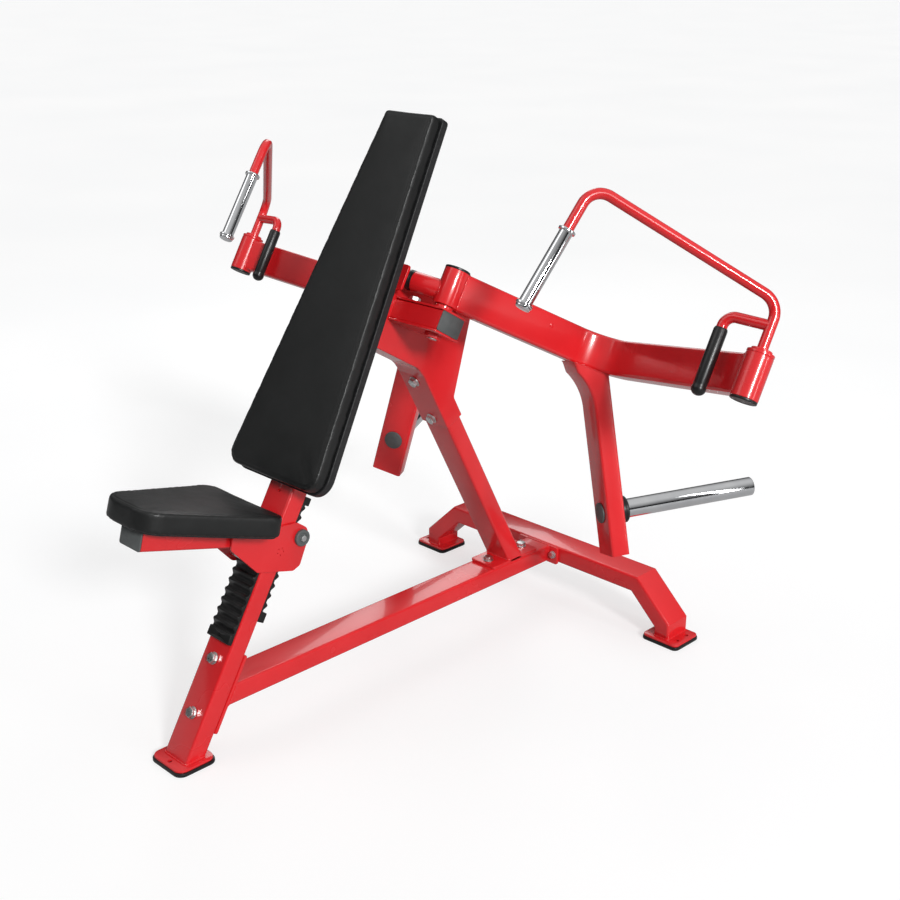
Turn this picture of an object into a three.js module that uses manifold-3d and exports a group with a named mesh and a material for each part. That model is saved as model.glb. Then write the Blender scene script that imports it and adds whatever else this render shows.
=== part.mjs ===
// Plate-loaded chest press machine: a leaning front post with back rest and sliding seat, a rear upright,
// and two press arms that turn on shafts parallel to the post.
// Millimetres, +Z up, the user faces -Y, left is +X.
import * as THREE from 'three';
import { mergeVertices } from 'three/addons/utils/BufferGeometryUtils.js';
import Module from 'manifold-3d';

const wasm = await Module();
wasm.setup();

// ---- Driving dimensions ----
const DEGREE = Math.PI / 180;
const GAP = 0.3; // clearance between touching pieces
const ROUND = 20; // sides of a round piece
const SMALL_ROUND = 12; // sides of a bolt or a hole

const TUBE_WIDE = 90; // rectangular frame tube
const TUBE_THIN = 50;
const WALL = 3;
const PLATE = 8; // welded and bolted joining plates

const POST_LEAN = 30.5 * DEGREE; // the post leans back from vertical
const POST_LENGTH = 1285;

const PAD_HEIGHT = 10; // rubber under each foot
const FOOT_PLATE = 6;

const BASE_TOP = 155; // top of the base tubes, above the foot plates
const BASE_BOTTOM = BASE_TOP - TUBE_THIN;
const REAR_BEAM_Y = 1303; // front face of the rear crossbeam
const REAR_BEND_X = 352.6; // where the crossbeam starts to slope down
const REAR_FOOT_X = 453.5;
const REAR_FOOT_Y = REAR_BEAM_Y + TUBE_WIDE / 2 - 4; // middle of a rear foot plate
const REAR_FOOT_BEND = 35;

const UPRIGHT_Y = 1119; // front face of the upright where it meets its base plate
const UPRIGHT_LEAN = 27.9 * DEGREE; // the upright leans forward
const UPRIGHT_LENGTH = 715;
const SLEEVE_START = 526; // along the upright, where the head bracket begins
const SLEEVE_WALL = 4;

const HEAD_BOTTOM = 1088; // head bracket, measured along the post
const HEAD_TOP = 1280;
const HEAD_DEPTH = 355;
const EAR_HALF = 86; // half width of the stop ears
const EAR_BOTTOM = 1236;
const EAR_TOP = 1298;

const PIVOT_X = 170; // arm shafts, behind the post
const PIVOT_BACK = 125;
const BEAM_HALF = 210; // pivot beam, half length
const BEAM_DEEP = 80;
const BEAM_LOW = 1169;
const BEAM_HIGH = BEAM_LOW + TUBE_THIN;
const BEAM_SKIN = 5; // wear plates on the beam
const SHAFT_RADIUS = 15;
const HOUSING_RADIUS = 31.5;
const CAP_PLUG = 6; // depth of a cap's plug in its housing
const CAP_THICK = 6.5;
const PIVOT_LOW = 1236;
const PIVOT_HIGH = 1325;

const ARM_HEIGHT = 92; // press arm tube
const ARM_MIDDLE = 1279; // at the pivot
const ARM_RISE = 2.3 * DEGREE; // the arm's plane climbs towards the back
const ARM_BEND = [308, 620];
const ARM_BEND_RADIUS = 100;
const OUTER_X = 898; // handle housing
const OUTER_BACK = 341;
const OUTER_LOW = 1236;
const OUTER_HIGH = 1344;

const STOP_ANGLE = 23.2 * DEGREE; // stop tube, forward of straight inward
const STOP_LEVEL = 1270;
const STOP_RADIUS = 25;
const STOP_REACH = 96;
const BUMPER_LENGTH = 16;

const DROP_BOTTOM = new THREE.Vector3(437.5, 782, 833); // centre of the weight arm's lower end
const DROP_YAW = -31.5 * DEGREE;
const DROP_TILT = 29.6 * DEGREE;
const DROP_LENGTH = 540;
const FLARE_LENGTH = 95; // the weight arm is deeper at its top
const FLARE_REACH = 42;
const HORN_UP = 112; // horn axis above the weight arm's lower end
const HORN_RADIUS = 25;
const HORN_LENGTH = 370;
const HORN_BUMPER = 18;
const PLUG_RADIUS = 27;

const HANDLE_RADIUS = 12.5;
const HANDLE_TOP = 1459;
const GRIP_BEND = new THREE.Vector3(565, 11, 1545);
const GRIP_END = new THREE.Vector3(531, -22, 1248);
const GRIP_LENGTH = 190;
const HOOK_LEVEL = 1405;
const HOOK_X = 791;
const HOOK_BACK = 327;
const HOOK_END = 1232;
const KNOB_DEPTH = 17; // the rubber grip's end below the bar

const BACK_BOTTOM = 704; // back rest, measured along the post
const BACK_TOP = 1641;
const BACK_HALF_BOTTOM = 168;
const BACK_HALF_TOP = 84;
const BACK_FRONT = -54;
const BACK_BOARD = 20;
const BOARD_MARGIN = 5; // the back board stands out around the cushion

const SEAT_Y = 75; // a point on the seat's top plane
const SEAT_Z = 640;
const SEAT_TILT = 15.5 * DEGREE;
const SEAT_FRONT = -158;
const SEAT_REAR = 190;
const SEAT_HALF_FRONT = 88;
const SEAT_HALF_REAR = 156;
const SEAT_CORNERS = [50, 50, 38, 38];
const SEAT_BOARD_INSET = 3;
const SEAT_CUSHION = 42;
const SEAT_BOARD = 12;
const SEAT_TUBE_WIDE = 80;
const SEAT_TUBE_HIGH = 50;
const SEAT_TUBE_FRONT = -118;
const SEAT_TUBE_REAR = 220;
const SPACER_FRONT = 128;
const SPACER_MARGIN = 6;
const BRACKET_INNER = 46.3;
const BRACKET_OUTER = 52.3;
const ROLLER_BACK = 74; // seat roller axis, behind the post's front face
const ROLLER_LEVEL = 595;
const PAWL_FRONT = -24;
const PAWL_LEVEL = 505;
const PIN_RADIUS = 8;

const TOOTH_PITCH = 25; // seat height racks
const TOOTH_COUNT = 11;
const RACK_HALF = 42;

// ---- Materials ----
const paint = (color, roughness, metalness) =>
  new THREE.MeshStandardMaterial({ color, roughness, metalness, flatShading: true });
const RED = paint(0xc4161c, 0.3, 0.1);
const CHROME = paint(0xd8dadc, 0.12, 1);
const ZINC = paint(0xb9bbba, 0.35, 0.9);
const VINYL = paint(0x17181a, 0.5, 0);
const BLACK_PLASTIC = paint(0x141414, 0.55, 0);
const GREY_PLASTIC = paint(0x4c5050, 0.6, 0);
const RUBBER = paint(0x1d1f1f, 0.8, 0);
const BOARD = paint(0x101112, 0.7, 0);

// ---- Solids ----
function toSolid(geometry) {
  const bare = geometry.clone();
  bare.deleteAttribute('normal');
  bare.deleteAttribute('uv');
  const merged = mergeVertices(bare, 1e-4);
  return new wasm.Manifold(new wasm.Mesh({
    numProp: 3,
    vertProperties: new Float32Array(merged.attributes.position.array),
    triVerts: new Uint32Array(merged.index.array),
  }));
}

function toGeometry(solid) {
  const mesh = solid.getMesh();
  const geometry = new THREE.BufferGeometry();
  geometry.setAttribute('position', new THREE.BufferAttribute(new Float32Array(mesh.vertProperties), 3));
  geometry.setIndex(new THREE.BufferAttribute(new Uint32Array(mesh.triVerts), 1));
  return geometry;
}

const join = (...pieces) => pieces.reduce((whole, piece) => whole.add(piece));
const cut = (whole, ...tools) => tools.reduce((rest, tool) => rest.subtract(tool), whole);

function outline(points) {
  return new THREE.Shape(points.map(([u, v]) => new THREE.Vector2(u, v)));
}

function extrude(shape, depth, curveSegments = 6) {
  return new THREE.ExtrudeGeometry(shape, { depth, bevelEnabled: false, steps: 1, curveSegments });
}

// An outline of (y, z) points, extruded along X from x0 to x1.
function prismX(points, x0, x1) {
  const [backwards, up, sideways] = [[0, 1, 0], [0, 0, 1], [1, 0, 0]].map((axis) => new THREE.Vector3(...axis));
  const turn = new THREE.Matrix4().makeBasis(backwards, up, sideways);
  return toSolid(extrude(outline(points), x1 - x0).applyMatrix4(turn).translate(x0, 0, 0));
}

// An outline of (x, z) points, extruded along Y from y0 to y1.
function prismY(shape, y0, y1) {
  return toSolid(extrude(shape, y1 - y0).rotateX(Math.PI / 2).translate(0, y1, 0));
}

// An outline of (x, y) points, extruded along Z from z0 to z1.
function prismZ(shape, z0, z1) {
  return toSolid(extrude(shape, z1 - z0).translate(0, 0, z0));
}

function block(x0, x1, y0, y1, z0, z1) {
  const box = new THREE.BoxGeometry(x1 - x0, y1 - y0, z1 - z0);
  return toSolid(box.translate((x0 + x1) / 2, (y0 + y1) / 2, (z0 + z1) / 2));
}

// A solid of revolution about the line from one point towards another; profile holds (radius, distance) pairs.
function turned(profile, from, towards, sides = ROUND) {
  const lathe = new THREE.LatheGeometry(profile.map(([r, s]) => new THREE.Vector2(r, s)), sides);
  const direction = towards.clone().sub(from).normalize();
  lathe.applyQuaternion(new THREE.Quaternion().setFromUnitVectors(new THREE.Vector3(0, 1, 0), direction));
  return toSolid(lathe.translate(from.x, from.y, from.z));
}

function rod(from, to, radius, sides = ROUND) {
  const length = from.distanceTo(to);
  return turned([[0, 0], [radius, 0], [radius, length], [0, length]], from, to, sides);
}

// A hollow or solid round piece standing on the line (x, y), between two heights.
function ring(x, y, low, high, outer, inner = 0, sides = ROUND) {
  const base = new THREE.Vector3(x, y, low);
  const top = new THREE.Vector3(x, y, high);
  const body = rod(base, top, outer, sides);
  if (!inner) return body;
  return cut(body, rod(base.clone().setZ(low - 5), top.clone().setZ(high + 5), inner, sides));
}

// Moves each edge of an anticlockwise outline inward by its own distance.
function inset(points, distances) {
  const edges = points.map((point, i) => {
    const next = points[(i + 1) % points.length];
    const length = Math.hypot(next[0] - point[0], next[1] - point[1]);
    const along = [(next[0] - point[0]) / length, (next[1] - point[1]) / length];
    const inward = [-along[1] * distances[i], along[0] * distances[i]];
    return { start: [point[0] + inward[0], point[1] + inward[1]], along };
  });
  return edges.map((edge, i) => {
    const before = edges[(i + edges.length - 1) % edges.length];
    const cross = before.along[0] * edge.along[1] - before.along[1] * edge.along[0];
    const offset = [edge.start[0] - before.start[0], edge.start[1] - before.start[1]];
    const reach = (offset[0] * edge.along[1] - offset[1] * edge.along[0]) / cross;
    return [before.start[0] + before.along[0] * reach, before.start[1] + before.along[1] * reach];
  });
}

// Rounds the corners of a closed outline; radii holds one radius for each point.
function roundedShape(points, radii) {
  const shape = new THREE.Shape();
  points.forEach((point, i) => {
    const corner = new THREE.Vector2(...point);
    const before = new THREE.Vector2(...points[(i + points.length - 1) % points.length]);
    const after = new THREE.Vector2(...points[(i + 1) % points.length]);
    const arrive = corner.clone().add(before.sub(corner).setLength(radii[i]));
    const leave = corner.clone().add(after.sub(corner).setLength(radii[i]));
    if (i === 0) shape.moveTo(arrive.x, arrive.y);
    else shape.lineTo(arrive.x, arrive.y);
    shape.quadraticCurveTo(corner.x, corner.y, leave.x, leave.y);
  });
  return shape;
}

// A strip of the given half width along a path of (u, v) points, with mitred corners.
function ribbon(path, half) {
  const side = (sign) => path.map((point, i) => {
    const last = path[Math.max(i - 1, 0)];
    const next = path[Math.min(i + 1, path.length - 1)];
    const into = new THREE.Vector2(point[0] - last[0], point[1] - last[1]);
    const out = new THREE.Vector2(next[0] - point[0], next[1] - point[1]);
    if (i === 0) into.copy(out);
    if (i === path.length - 1) out.copy(into);
    const middle = into.normalize().clone().add(out.normalize()).normalize();
    const reach = (sign * half) / middle.dot(out);
    return [point[0] - middle.y * reach, point[1] + middle.x * reach];
  });
  return outline([...side(-1), ...side(1).reverse()]);
}

// Replaces the middle point of a three-point path by an arc.
function bentPath([start, corner, end], radius, steps) {
  const c = new THREE.Vector2(...corner);
  const back = new THREE.Vector2(...start).sub(c).normalize();
  const ahead = new THREE.Vector2(...end).sub(c).normalize();
  const halfAngle = Math.acos(back.dot(ahead)) / 2;
  const centre = c.clone().add(back.clone().add(ahead).setLength(radius / Math.sin(halfAngle)));
  const first = c.clone().add(back.multiplyScalar(radius / Math.tan(halfAngle))).sub(centre);
  const last = c.clone().add(ahead.multiplyScalar(radius / Math.tan(halfAngle))).sub(centre);
  const turn = Math.atan2(first.cross(last), first.dot(last));
  const arc = Array.from({ length: steps + 1 }, (_, i) => {
    const spoke = first.clone().rotateAround(new THREE.Vector2(), (turn * i) / steps).add(centre);
    return [spoke.x, spoke.y];
  });
  return [start, ...arc, end];
}

// A round bar bent along a path of points, each inner corner rounded by its radius.
function bentBar(points, radii, barRadius, steps, sides = 10) {
  const curve = new THREE.CurvePath();
  let from = points[0];
  points.slice(1, -1).forEach((corner, i) => {
    const arrive = corner.clone().add(points[i].clone().sub(corner).setLength(radii[i]));
    const leave = corner.clone().add(points[i + 2].clone().sub(corner).setLength(radii[i]));
    curve.add(new THREE.LineCurve3(from, arrive));
    curve.add(new THREE.QuadraticBezierCurve3(arrive, corner, leave));
    from = leave;
  });
  curve.add(new THREE.LineCurve3(from, points[points.length - 1]));
  const circle = outline(Array.from({ length: sides }, (_, i) => {
    const angle = (2 * Math.PI * i) / sides;
    return [barRadius * Math.cos(angle), barRadius * Math.sin(angle)];
  }));
  return toSolid(new THREE.ExtrudeGeometry(circle, { steps, extrudePath: curve, bevelEnabled: false }));
}

// A hexagon bolt, washer and nut: the head stands on the surface at the point and the nut is clamped below it.
function bolt(point, outward, clamped, size = 8) {
  const away = (distance) => point.clone().addScaledVector(outward, distance);
  const shank = rod(away(-clamped - size * 1.6), away(1), size, SMALL_ROUND);
  const washer = rod(away(GAP), away(GAP + 2.4), size * 1.9, SMALL_ROUND);
  const head = rod(away(2), away(2 + size * 1.25), size * 1.75, 6);
  const nut = rod(away(-clamped - GAP), away(-clamped - GAP - size), size * 1.75, 6);
  return join(shank, washer, head, nut);
}

function hole(point, direction, reach, radius) {
  return rod(point.clone().addScaledVector(direction, -reach), point.clone().addScaledVector(direction, reach),
    radius, SMALL_ROUND);
}

// ---- Frames of reference, in the (y, z) plane above the foot plates ----
const onPost = (back, up) => [
  back * Math.cos(POST_LEAN) + up * Math.sin(POST_LEAN), up * Math.cos(POST_LEAN) - back * Math.sin(POST_LEAN)];
const onUpright = (up, back) => [
  UPRIGHT_Y - up * Math.sin(UPRIGHT_LEAN) + back * Math.cos(UPRIGHT_LEAN),
  BASE_TOP + PLATE + up * Math.cos(UPRIGHT_LEAN) + back * Math.sin(UPRIGHT_LEAN)];
const at = (x, [y, z]) => new THREE.Vector3(x, y, z);
const along = ([y1, z1], [y2, z2]) => new THREE.Vector3(0, y2 - y1, z2 - z1).normalize();
const X = new THREE.Vector3(1, 0, 0);
const POST_FORWARD = along(onPost(1, 0), onPost(0, 0));
const half = TUBE_WIDE / 2;
const thinHalf = TUBE_THIN / 2;

// ---- Scene ----
const machine = new THREE.Group();
const base = new THREE.Group(); // its floor is the top of the foot plates
const leaning = new THREE.Group(); // local Z runs up the post, local Y backwards from its front face
const seatFrame = new THREE.Group(); // local Z is the seat's normal
leaning.rotation.x = -POST_LEAN;
seatFrame.position.set(0, SEAT_Y, SEAT_Z);
seatFrame.rotation.x = -SEAT_TILT;
machine.add(base);
base.add(leaning, seatFrame);

function add(group, name, solid, material) {
  const mesh = new THREE.Mesh(toGeometry(solid), material);
  mesh.name = name;
  group.add(mesh);
}

function addPair(group, name, solid, material) {
  add(group, `left_${name}`, solid, material);
  const mirror = toGeometry(solid).scale(-1, 1, 1);
  mirror.index.array.reverse();
  const mesh = new THREE.Mesh(mirror, material);
  mesh.name = `right_${name}`;
  group.add(mesh);
}

// ---- Front post and base ----
const FORWARD = new THREE.Vector3(0, -1, 0);
const UP = new THREE.Vector3(0, 0, 1);
const postBolts = [116, 254].map((up) => at(0, onPost(0, up)));
const uprightBolts = [1080, 1219].map((y) => new THREE.Vector3(0, y, BASE_TOP + PLATE + GAP));
const spineBolt = new THREE.Vector3(60, REAR_BEAM_Y - PLATE - GAP, 130);
const bothSides = (solid) => [solid, solid.mirror([1, 0, 0])];

function footing(x, y, halfX, halfY, low, high, radius) {
  const [x0, x1, y0, y1] = [x - halfX, x + halfX, y - halfY, y + halfY];
  const corners = [[x0, y0], [x1, y0], [x1, y1], [x0, y1]];
  return prismZ(roundedShape(corners, [radius, radius, radius, radius]), low, high);
}

function frontPost() {
  const tube = (inner, width) => prismX([onPost(inner, -60), onPost(TUBE_THIN - inner, -60),
    onPost(TUBE_THIN - inner, POST_LENGTH - inner), onPost(inner, POST_LENGTH - inner)], -width, width);
  const drillings = postBolts.map((point) => hole(point, POST_FORWARD, 80, 8.5));
  const lockHole = hole(at(0, onPost(0, 683)), POST_FORWARD, 20, 4);
  const belowFloor = block(-200, 200, -200, 200, -200, GAP);
  return cut(tube(0, half), tube(WALL, half - WALL), belowFloor, ...drillings, lockHole);
}

function frontFootPlate() {
  return cut(footing(0, 25, 60, 53, -FOOT_PLATE, 0, 25), ring(0, -14, -20, 20, 6));
}

// The spine has a leaning plate at its front end, bolted to the post, and an upright plate at its rear end.
function baseSpine() {
  const plateFront = TUBE_THIN + GAP;
  const plateBack = plateFront + PLATE;
  const frontPlate = prismX([onPost(plateFront, 85), onPost(plateBack, 85), onPost(plateBack, 285),
    onPost(plateFront, 285)], -half, half);
  const rear = REAR_BEAM_Y - GAP;
  const rearPlate = block(-76, 76, rear - PLATE, rear, BASE_BOTTOM - 4, BASE_TOP - 1);
  const start = (back, z) => (back + z * Math.sin(POST_LEAN)) / Math.cos(POST_LEAN);
  const tube = (back, end, low, high, width) => prismX([[start(back, low), low], [end, low], [end, high],
    [start(back, high), high]], -width, width);
  const skin = tube(plateBack - 1, rear - PLATE + 1, BASE_BOTTOM, BASE_TOP, half);
  const hollow = tube(plateBack, rear - PLATE, BASE_BOTTOM + WALL, BASE_TOP - WALL, half - WALL);
  return cut(join(skin, frontPlate, rearPlate), hollow,
    ...postBolts.map((point) => hole(point, POST_FORWARD, 80, 8.5)),
    ...uprightBolts.map((point) => hole(point, UP, 20, 8.5)), ...bothSides(hole(spineBolt, FORWARD, 30, 6.4)));
}

function rearCrossbeam() {
  const middle = BASE_TOP - thinHalf;
  const legs = (foot) => [[-REAR_FOOT_X, foot], [-REAR_FOOT_X, REAR_FOOT_BEND], [-REAR_BEND_X, middle],
    [REAR_BEND_X, middle], [REAR_FOOT_X, REAR_FOOT_BEND], [REAR_FOOT_X, foot]];
  const skin = prismY(ribbon(legs(-1), thinHalf), REAR_BEAM_Y, REAR_BEAM_Y + TUBE_WIDE);
  const hollow = prismY(ribbon(legs(0), thinHalf - WALL), REAR_BEAM_Y + WALL, REAR_BEAM_Y + TUBE_WIDE - WALL);
  const foot = footing(REAR_FOOT_X + 4, REAR_FOOT_Y, 58, 54, -FOOT_PLATE, 0, 14);
  const anchorHoles = [-22, 22].map((y) => ring(REAR_FOOT_X + 43, REAR_FOOT_Y + y, -20, 20, 6));
  return cut(join(skin, ...bothSides(foot)), hollow, ...anchorHoles.flatMap(bothSides),
    ...bothSides(hole(spineBolt, FORWARD, 30, 6.4)));
}

add(base, 'front_post', frontPost(), RED);
add(base, 'front_foot_plate', frontFootPlate(), RED);
add(base, 'front_foot_pad', footing(0, 25, 63, 56, -FOOT_PLATE - PAD_HEIGHT, -FOOT_PLATE - GAP, 27), RUBBER);
add(base, 'base_spine', baseSpine(), RED);
add(base, 'rear_crossbeam', rearCrossbeam(), RED);
addPair(base, 'rear_foot_pad',
  footing(REAR_FOOT_X + 4, REAR_FOOT_Y, 60, 56, -FOOT_PLATE - PAD_HEIGHT, -FOOT_PLATE - GAP, 15), RUBBER);
add(base, 'lower_post_bolt', bolt(postBolts[0], POST_FORWARD, TUBE_THIN + GAP + PLATE), ZINC);
add(base, 'upper_post_bolt', bolt(postBolts[1], POST_FORWARD, TUBE_THIN + GAP + PLATE), ZINC);
addPair(base, 'spine_bolt', bolt(spineBolt, FORWARD, PLATE + GAP + WALL, 6), ZINC);

// ---- Rear upright and head ----
const beamFront = PIVOT_BACK - BEAM_DEEP / 2;
const beamBack = PIVOT_BACK + BEAM_DEEP / 2;
const UPRIGHT_FORWARD = along(onUpright(0, 1), onUpright(0, 0));
const headBolts = [550, 680].map((up) => at(0, onUpright(up, -SLEEVE_WALL - GAP)));

function rearUpright() {
  const tube = (inner, top, width) => prismX([onUpright(-60, inner), onUpright(-60, TUBE_THIN - inner),
    onUpright(top, TUBE_THIN - inner), onUpright(top, inner)], -width, width);
  const skin = tube(0, UPRIGHT_LENGTH, half);
  const hollow = tube(WALL, UPRIGHT_LENGTH + 10, half - WALL);
  const plate = block(-half, half, 1056, 1242, BASE_TOP + GAP, BASE_TOP + GAP + PLATE);
  const below = (z) => block(-200, 200, 900, 1500, -200, z);
  const welded = join(cut(skin, below(BASE_TOP + 2)), plate);
  return cut(welded, cut(hollow, below(BASE_TOP + GAP + PLATE)),
    ...headBolts.map((point) => hole(point, UPRIGHT_FORWARD, 20, 8.5)),
    ...uprightBolts.map((point) => hole(point, UP, 20, 8.5)));
}

// The head bracket is a folded box: a sleeve over the upright that widens into a deep box behind the post.
function headBracket() {
  const front = TUBE_THIN + PLATE + 2 * GAP;
  const clear = SLEEVE_WALL + GAP;
  const sides = [
    onUpright(SLEEVE_START, -clear), onUpright(SLEEVE_START, TUBE_THIN + clear),
    onUpright(SLEEVE_START + 62, TUBE_THIN + clear), onPost(HEAD_DEPTH, HEAD_TOP), onPost(front, HEAD_TOP),
    onPost(front, HEAD_BOTTOM), onPost(228, HEAD_BOTTOM), onPost(252, 1080), onUpright(704, -clear)];
  const width = half + clear;
  const skin = prismX(sides, -width, width);
  const insets = sides.map((_, i) => (i === 0 ? -20 : SLEEVE_WALL));
  const hollow = prismX(inset(sides, insets), SLEEVE_WALL - width, width - SLEEVE_WALL);
  const beamHole = prismX([onPost(beamFront - GAP, BEAM_LOW - GAP), onPost(beamBack + GAP, BEAM_LOW - GAP),
    onPost(beamBack + GAP, BEAM_HIGH + GAP), onPost(beamFront - GAP, BEAM_HIGH + GAP)], -width - 5, width + 5);
  return cut(skin, hollow, beamHole, ...headBolts.map((point) => hole(point, UPRIGHT_FORWARD, 20, 8.5)));
}

// In the leaning frame, where X is sideways, Y backwards and Z up the post.
function headPlate() {
  const side = [[half, HEAD_BOTTOM], [half, EAR_BOTTOM - 8], [EAR_HALF, EAR_BOTTOM], [EAR_HALF, EAR_TOP]];
  const shape = outline([...side, ...side.map(([x, up]) => [-x, up]).reverse()]);
  return prismY(shape, TUBE_THIN + GAP, TUBE_THIN + GAP + PLATE);
}

function pivotBeam() {
  const tube = cut(block(-BEAM_HALF, BEAM_HALF, beamFront, beamBack, BEAM_LOW, BEAM_HIGH),
    block(-BEAM_HALF - 5, BEAM_HALF + 5, beamFront + WALL, beamBack - WALL, BEAM_LOW + WALL, BEAM_HIGH - WALL));
  const start = half + SLEEVE_WALL + 3 * GAP;
  const skins = [BEAM_HIGH, BEAM_LOW - BEAM_SKIN].flatMap((low) =>
    bothSides(block(start, BEAM_HALF + 4, beamFront - 4, beamBack + 4, low, low + BEAM_SKIN)));
  const bore = ring(PIVOT_X, PIVOT_BACK, BEAM_LOW - 20, BEAM_HIGH + 20, SHAFT_RADIUS + 0.5);
  return cut(join(tube, ...skins), ...bothSides(bore));
}

function pivotShaft() {
  const low = BEAM_LOW - BEAM_SKIN - GAP;
  const high = BEAM_HIGH + BEAM_SKIN + GAP;
  const shaft = ring(PIVOT_X, PIVOT_BACK, low - 14, PIVOT_HIGH - CAP_PLUG - 1, SHAFT_RADIUS);
  const nut = ring(PIVOT_X, PIVOT_BACK, low - 11, low, SHAFT_RADIUS * 1.4, 0, 6);
  return join(shaft, nut, ring(PIVOT_X, PIVOT_BACK, high, PIVOT_LOW - GAP, 23));
}

function beamCap() {
  const plug = block(BEAM_HALF - 12, BEAM_HALF + GAP, beamFront + WALL + GAP, beamBack - WALL - GAP,
    BEAM_LOW + WALL + GAP, BEAM_HIGH - WALL - GAP);
  const face = block(BEAM_HALF + GAP, BEAM_HALF + 4, beamFront, beamBack, BEAM_LOW + GAP, BEAM_HIGH - GAP);
  return join(plug, face);
}

add(base, 'rear_upright', rearUpright(), RED);
add(base, 'front_upright_bolt', bolt(uprightBolts[0], UP, PLATE + GAP + WALL), ZINC);
add(base, 'rear_upright_bolt', bolt(uprightBolts[1], UP, PLATE + GAP + WALL), ZINC);
add(base, 'head_bracket', headBracket(), RED);
add(base, 'lower_head_bolt', bolt(headBolts[0], UPRIGHT_FORWARD, SLEEVE_WALL + GAP + WALL), ZINC);
add(base, 'upper_head_bolt', bolt(headBolts[1], UPRIGHT_FORWARD, SLEEVE_WALL + GAP + WALL), ZINC);
add(leaning, 'head_plate', headPlate(), RED);
add(leaning, 'pivot_beam', pivotBeam(), RED);
addPair(leaning, 'beam_cap', beamCap(), GREY_PLASTIC);
addPair(leaning, 'pivot_shaft', pivotShaft(), ZINC);

// ---- Press arms, in the leaning frame ----
const pivotTop = new THREE.Vector3(PIVOT_X, PIVOT_BACK, STOP_LEVEL);
const stopDirection = new THREE.Vector3(-Math.cos(STOP_ANGLE), -Math.sin(STOP_ANGLE), 0);
const stopPoint = (distance) => pivotTop.clone().addScaledVector(stopDirection, distance);

function pivotHousing() {
  const drum = ring(PIVOT_X, PIVOT_BACK, PIVOT_LOW + GAP, PIVOT_HIGH, HOUSING_RADIUS);
  const stop = rod(pivotTop, stopPoint(STOP_REACH), STOP_RADIUS);
  return cut(join(drum, stop), ring(PIVOT_X, PIVOT_BACK, PIVOT_LOW - 5, PIVOT_HIGH + 5, SHAFT_RADIUS + 0.6));
}

function stopBumper() {
  const r = STOP_RADIUS + 0.5;
  const rounding = [0, 30, 60, 90].map((angle) => [
    r - 5 + 5 * Math.cos(angle * DEGREE), BUMPER_LENGTH - 5 + 5 * Math.sin(angle * DEGREE)]);
  return turned([[0, GAP], [r, GAP], ...rounding, [0, BUMPER_LENGTH]], stopPoint(STOP_REACH), stopPoint(200));
}

// Turns a shape drawn level in the leaning frame into the arm's rising plane.
const rise = new THREE.Matrix4().makeTranslation(0, PIVOT_BACK, ARM_MIDDLE)
  .multiply(new THREE.Matrix4().makeRotationX(ARM_RISE))
  .multiply(new THREE.Matrix4().makeTranslation(0, -PIVOT_BACK, 0));
const rising = (shape, low, high) =>
  toSolid(extrude(shape, high - low).translate(0, 0, low).applyMatrix4(rise));

// A bent tube, butted against the pivot housing at one end and welded to the handle housing at the other.
function pressArm() {
  const path = bentPath([[PIVOT_X, PIVOT_BACK], ARM_BEND, [OUTER_X, OUTER_BACK]], ARM_BEND_RADIUS, 9);
  const top = ARM_HEIGHT / 2;
  const skin = rising(ribbon(path, thinHalf), -top, top);
  const hollow = rising(ribbon(path, thinHalf - WALL), WALL - top, top - WALL);
  const inner = ring(PIVOT_X, PIVOT_BACK, ARM_MIDDLE - 80, ARM_MIDDLE + 80, HOUSING_RADIUS + GAP);
  const outer = ring(OUTER_X, OUTER_BACK, ARM_MIDDLE - 80, ARM_MIDDLE + 80, HOUSING_RADIUS - 4);
  const bore = ring(OUTER_X, OUTER_BACK, OUTER_LOW - 10, OUTER_HIGH + 10, SHAFT_RADIUS + 0.6);
  return join(cut(skin, hollow, inner, outer), cut(handleHousing(), bore));
}

function handleHousing() {
  const seam = HOUSING_RADIUS - 1.2;
  const groove = [[HOUSING_RADIUS, 9], [seam, 8], [seam, 7], [HOUSING_RADIUS, 6]];
  const profile = [[0, OUTER_LOW], [HOUSING_RADIUS, OUTER_LOW],
    ...groove.map(([radius, below]) => [radius, OUTER_HIGH - below]),
    [HOUSING_RADIUS, OUTER_HIGH], [0, OUTER_HIGH]];
  const foot = new THREE.Vector3(OUTER_X, OUTER_BACK, 0);
  return turned(profile, foot, foot.clone().setZ(1));
}

// The weight arm's own axes: across its wide face, through its thickness, and up its length.
const across = new THREE.Vector3(Math.cos(DROP_YAW), Math.sin(DROP_YAW), 0);
const level = new THREE.Vector3(-across.y, across.x, 0);
const through = level.clone().multiplyScalar(Math.cos(DROP_TILT)).setZ(Math.sin(DROP_TILT));
const lengthwise = new THREE.Vector3().crossVectors(across, through);
const dropMatrix = new THREE.Matrix4().makeBasis(across, through, lengthwise).setPosition(DROP_BOTTOM);
const dropPoint = (x, y, z) => new THREE.Vector3(x, y, z).applyMatrix4(dropMatrix);

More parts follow.
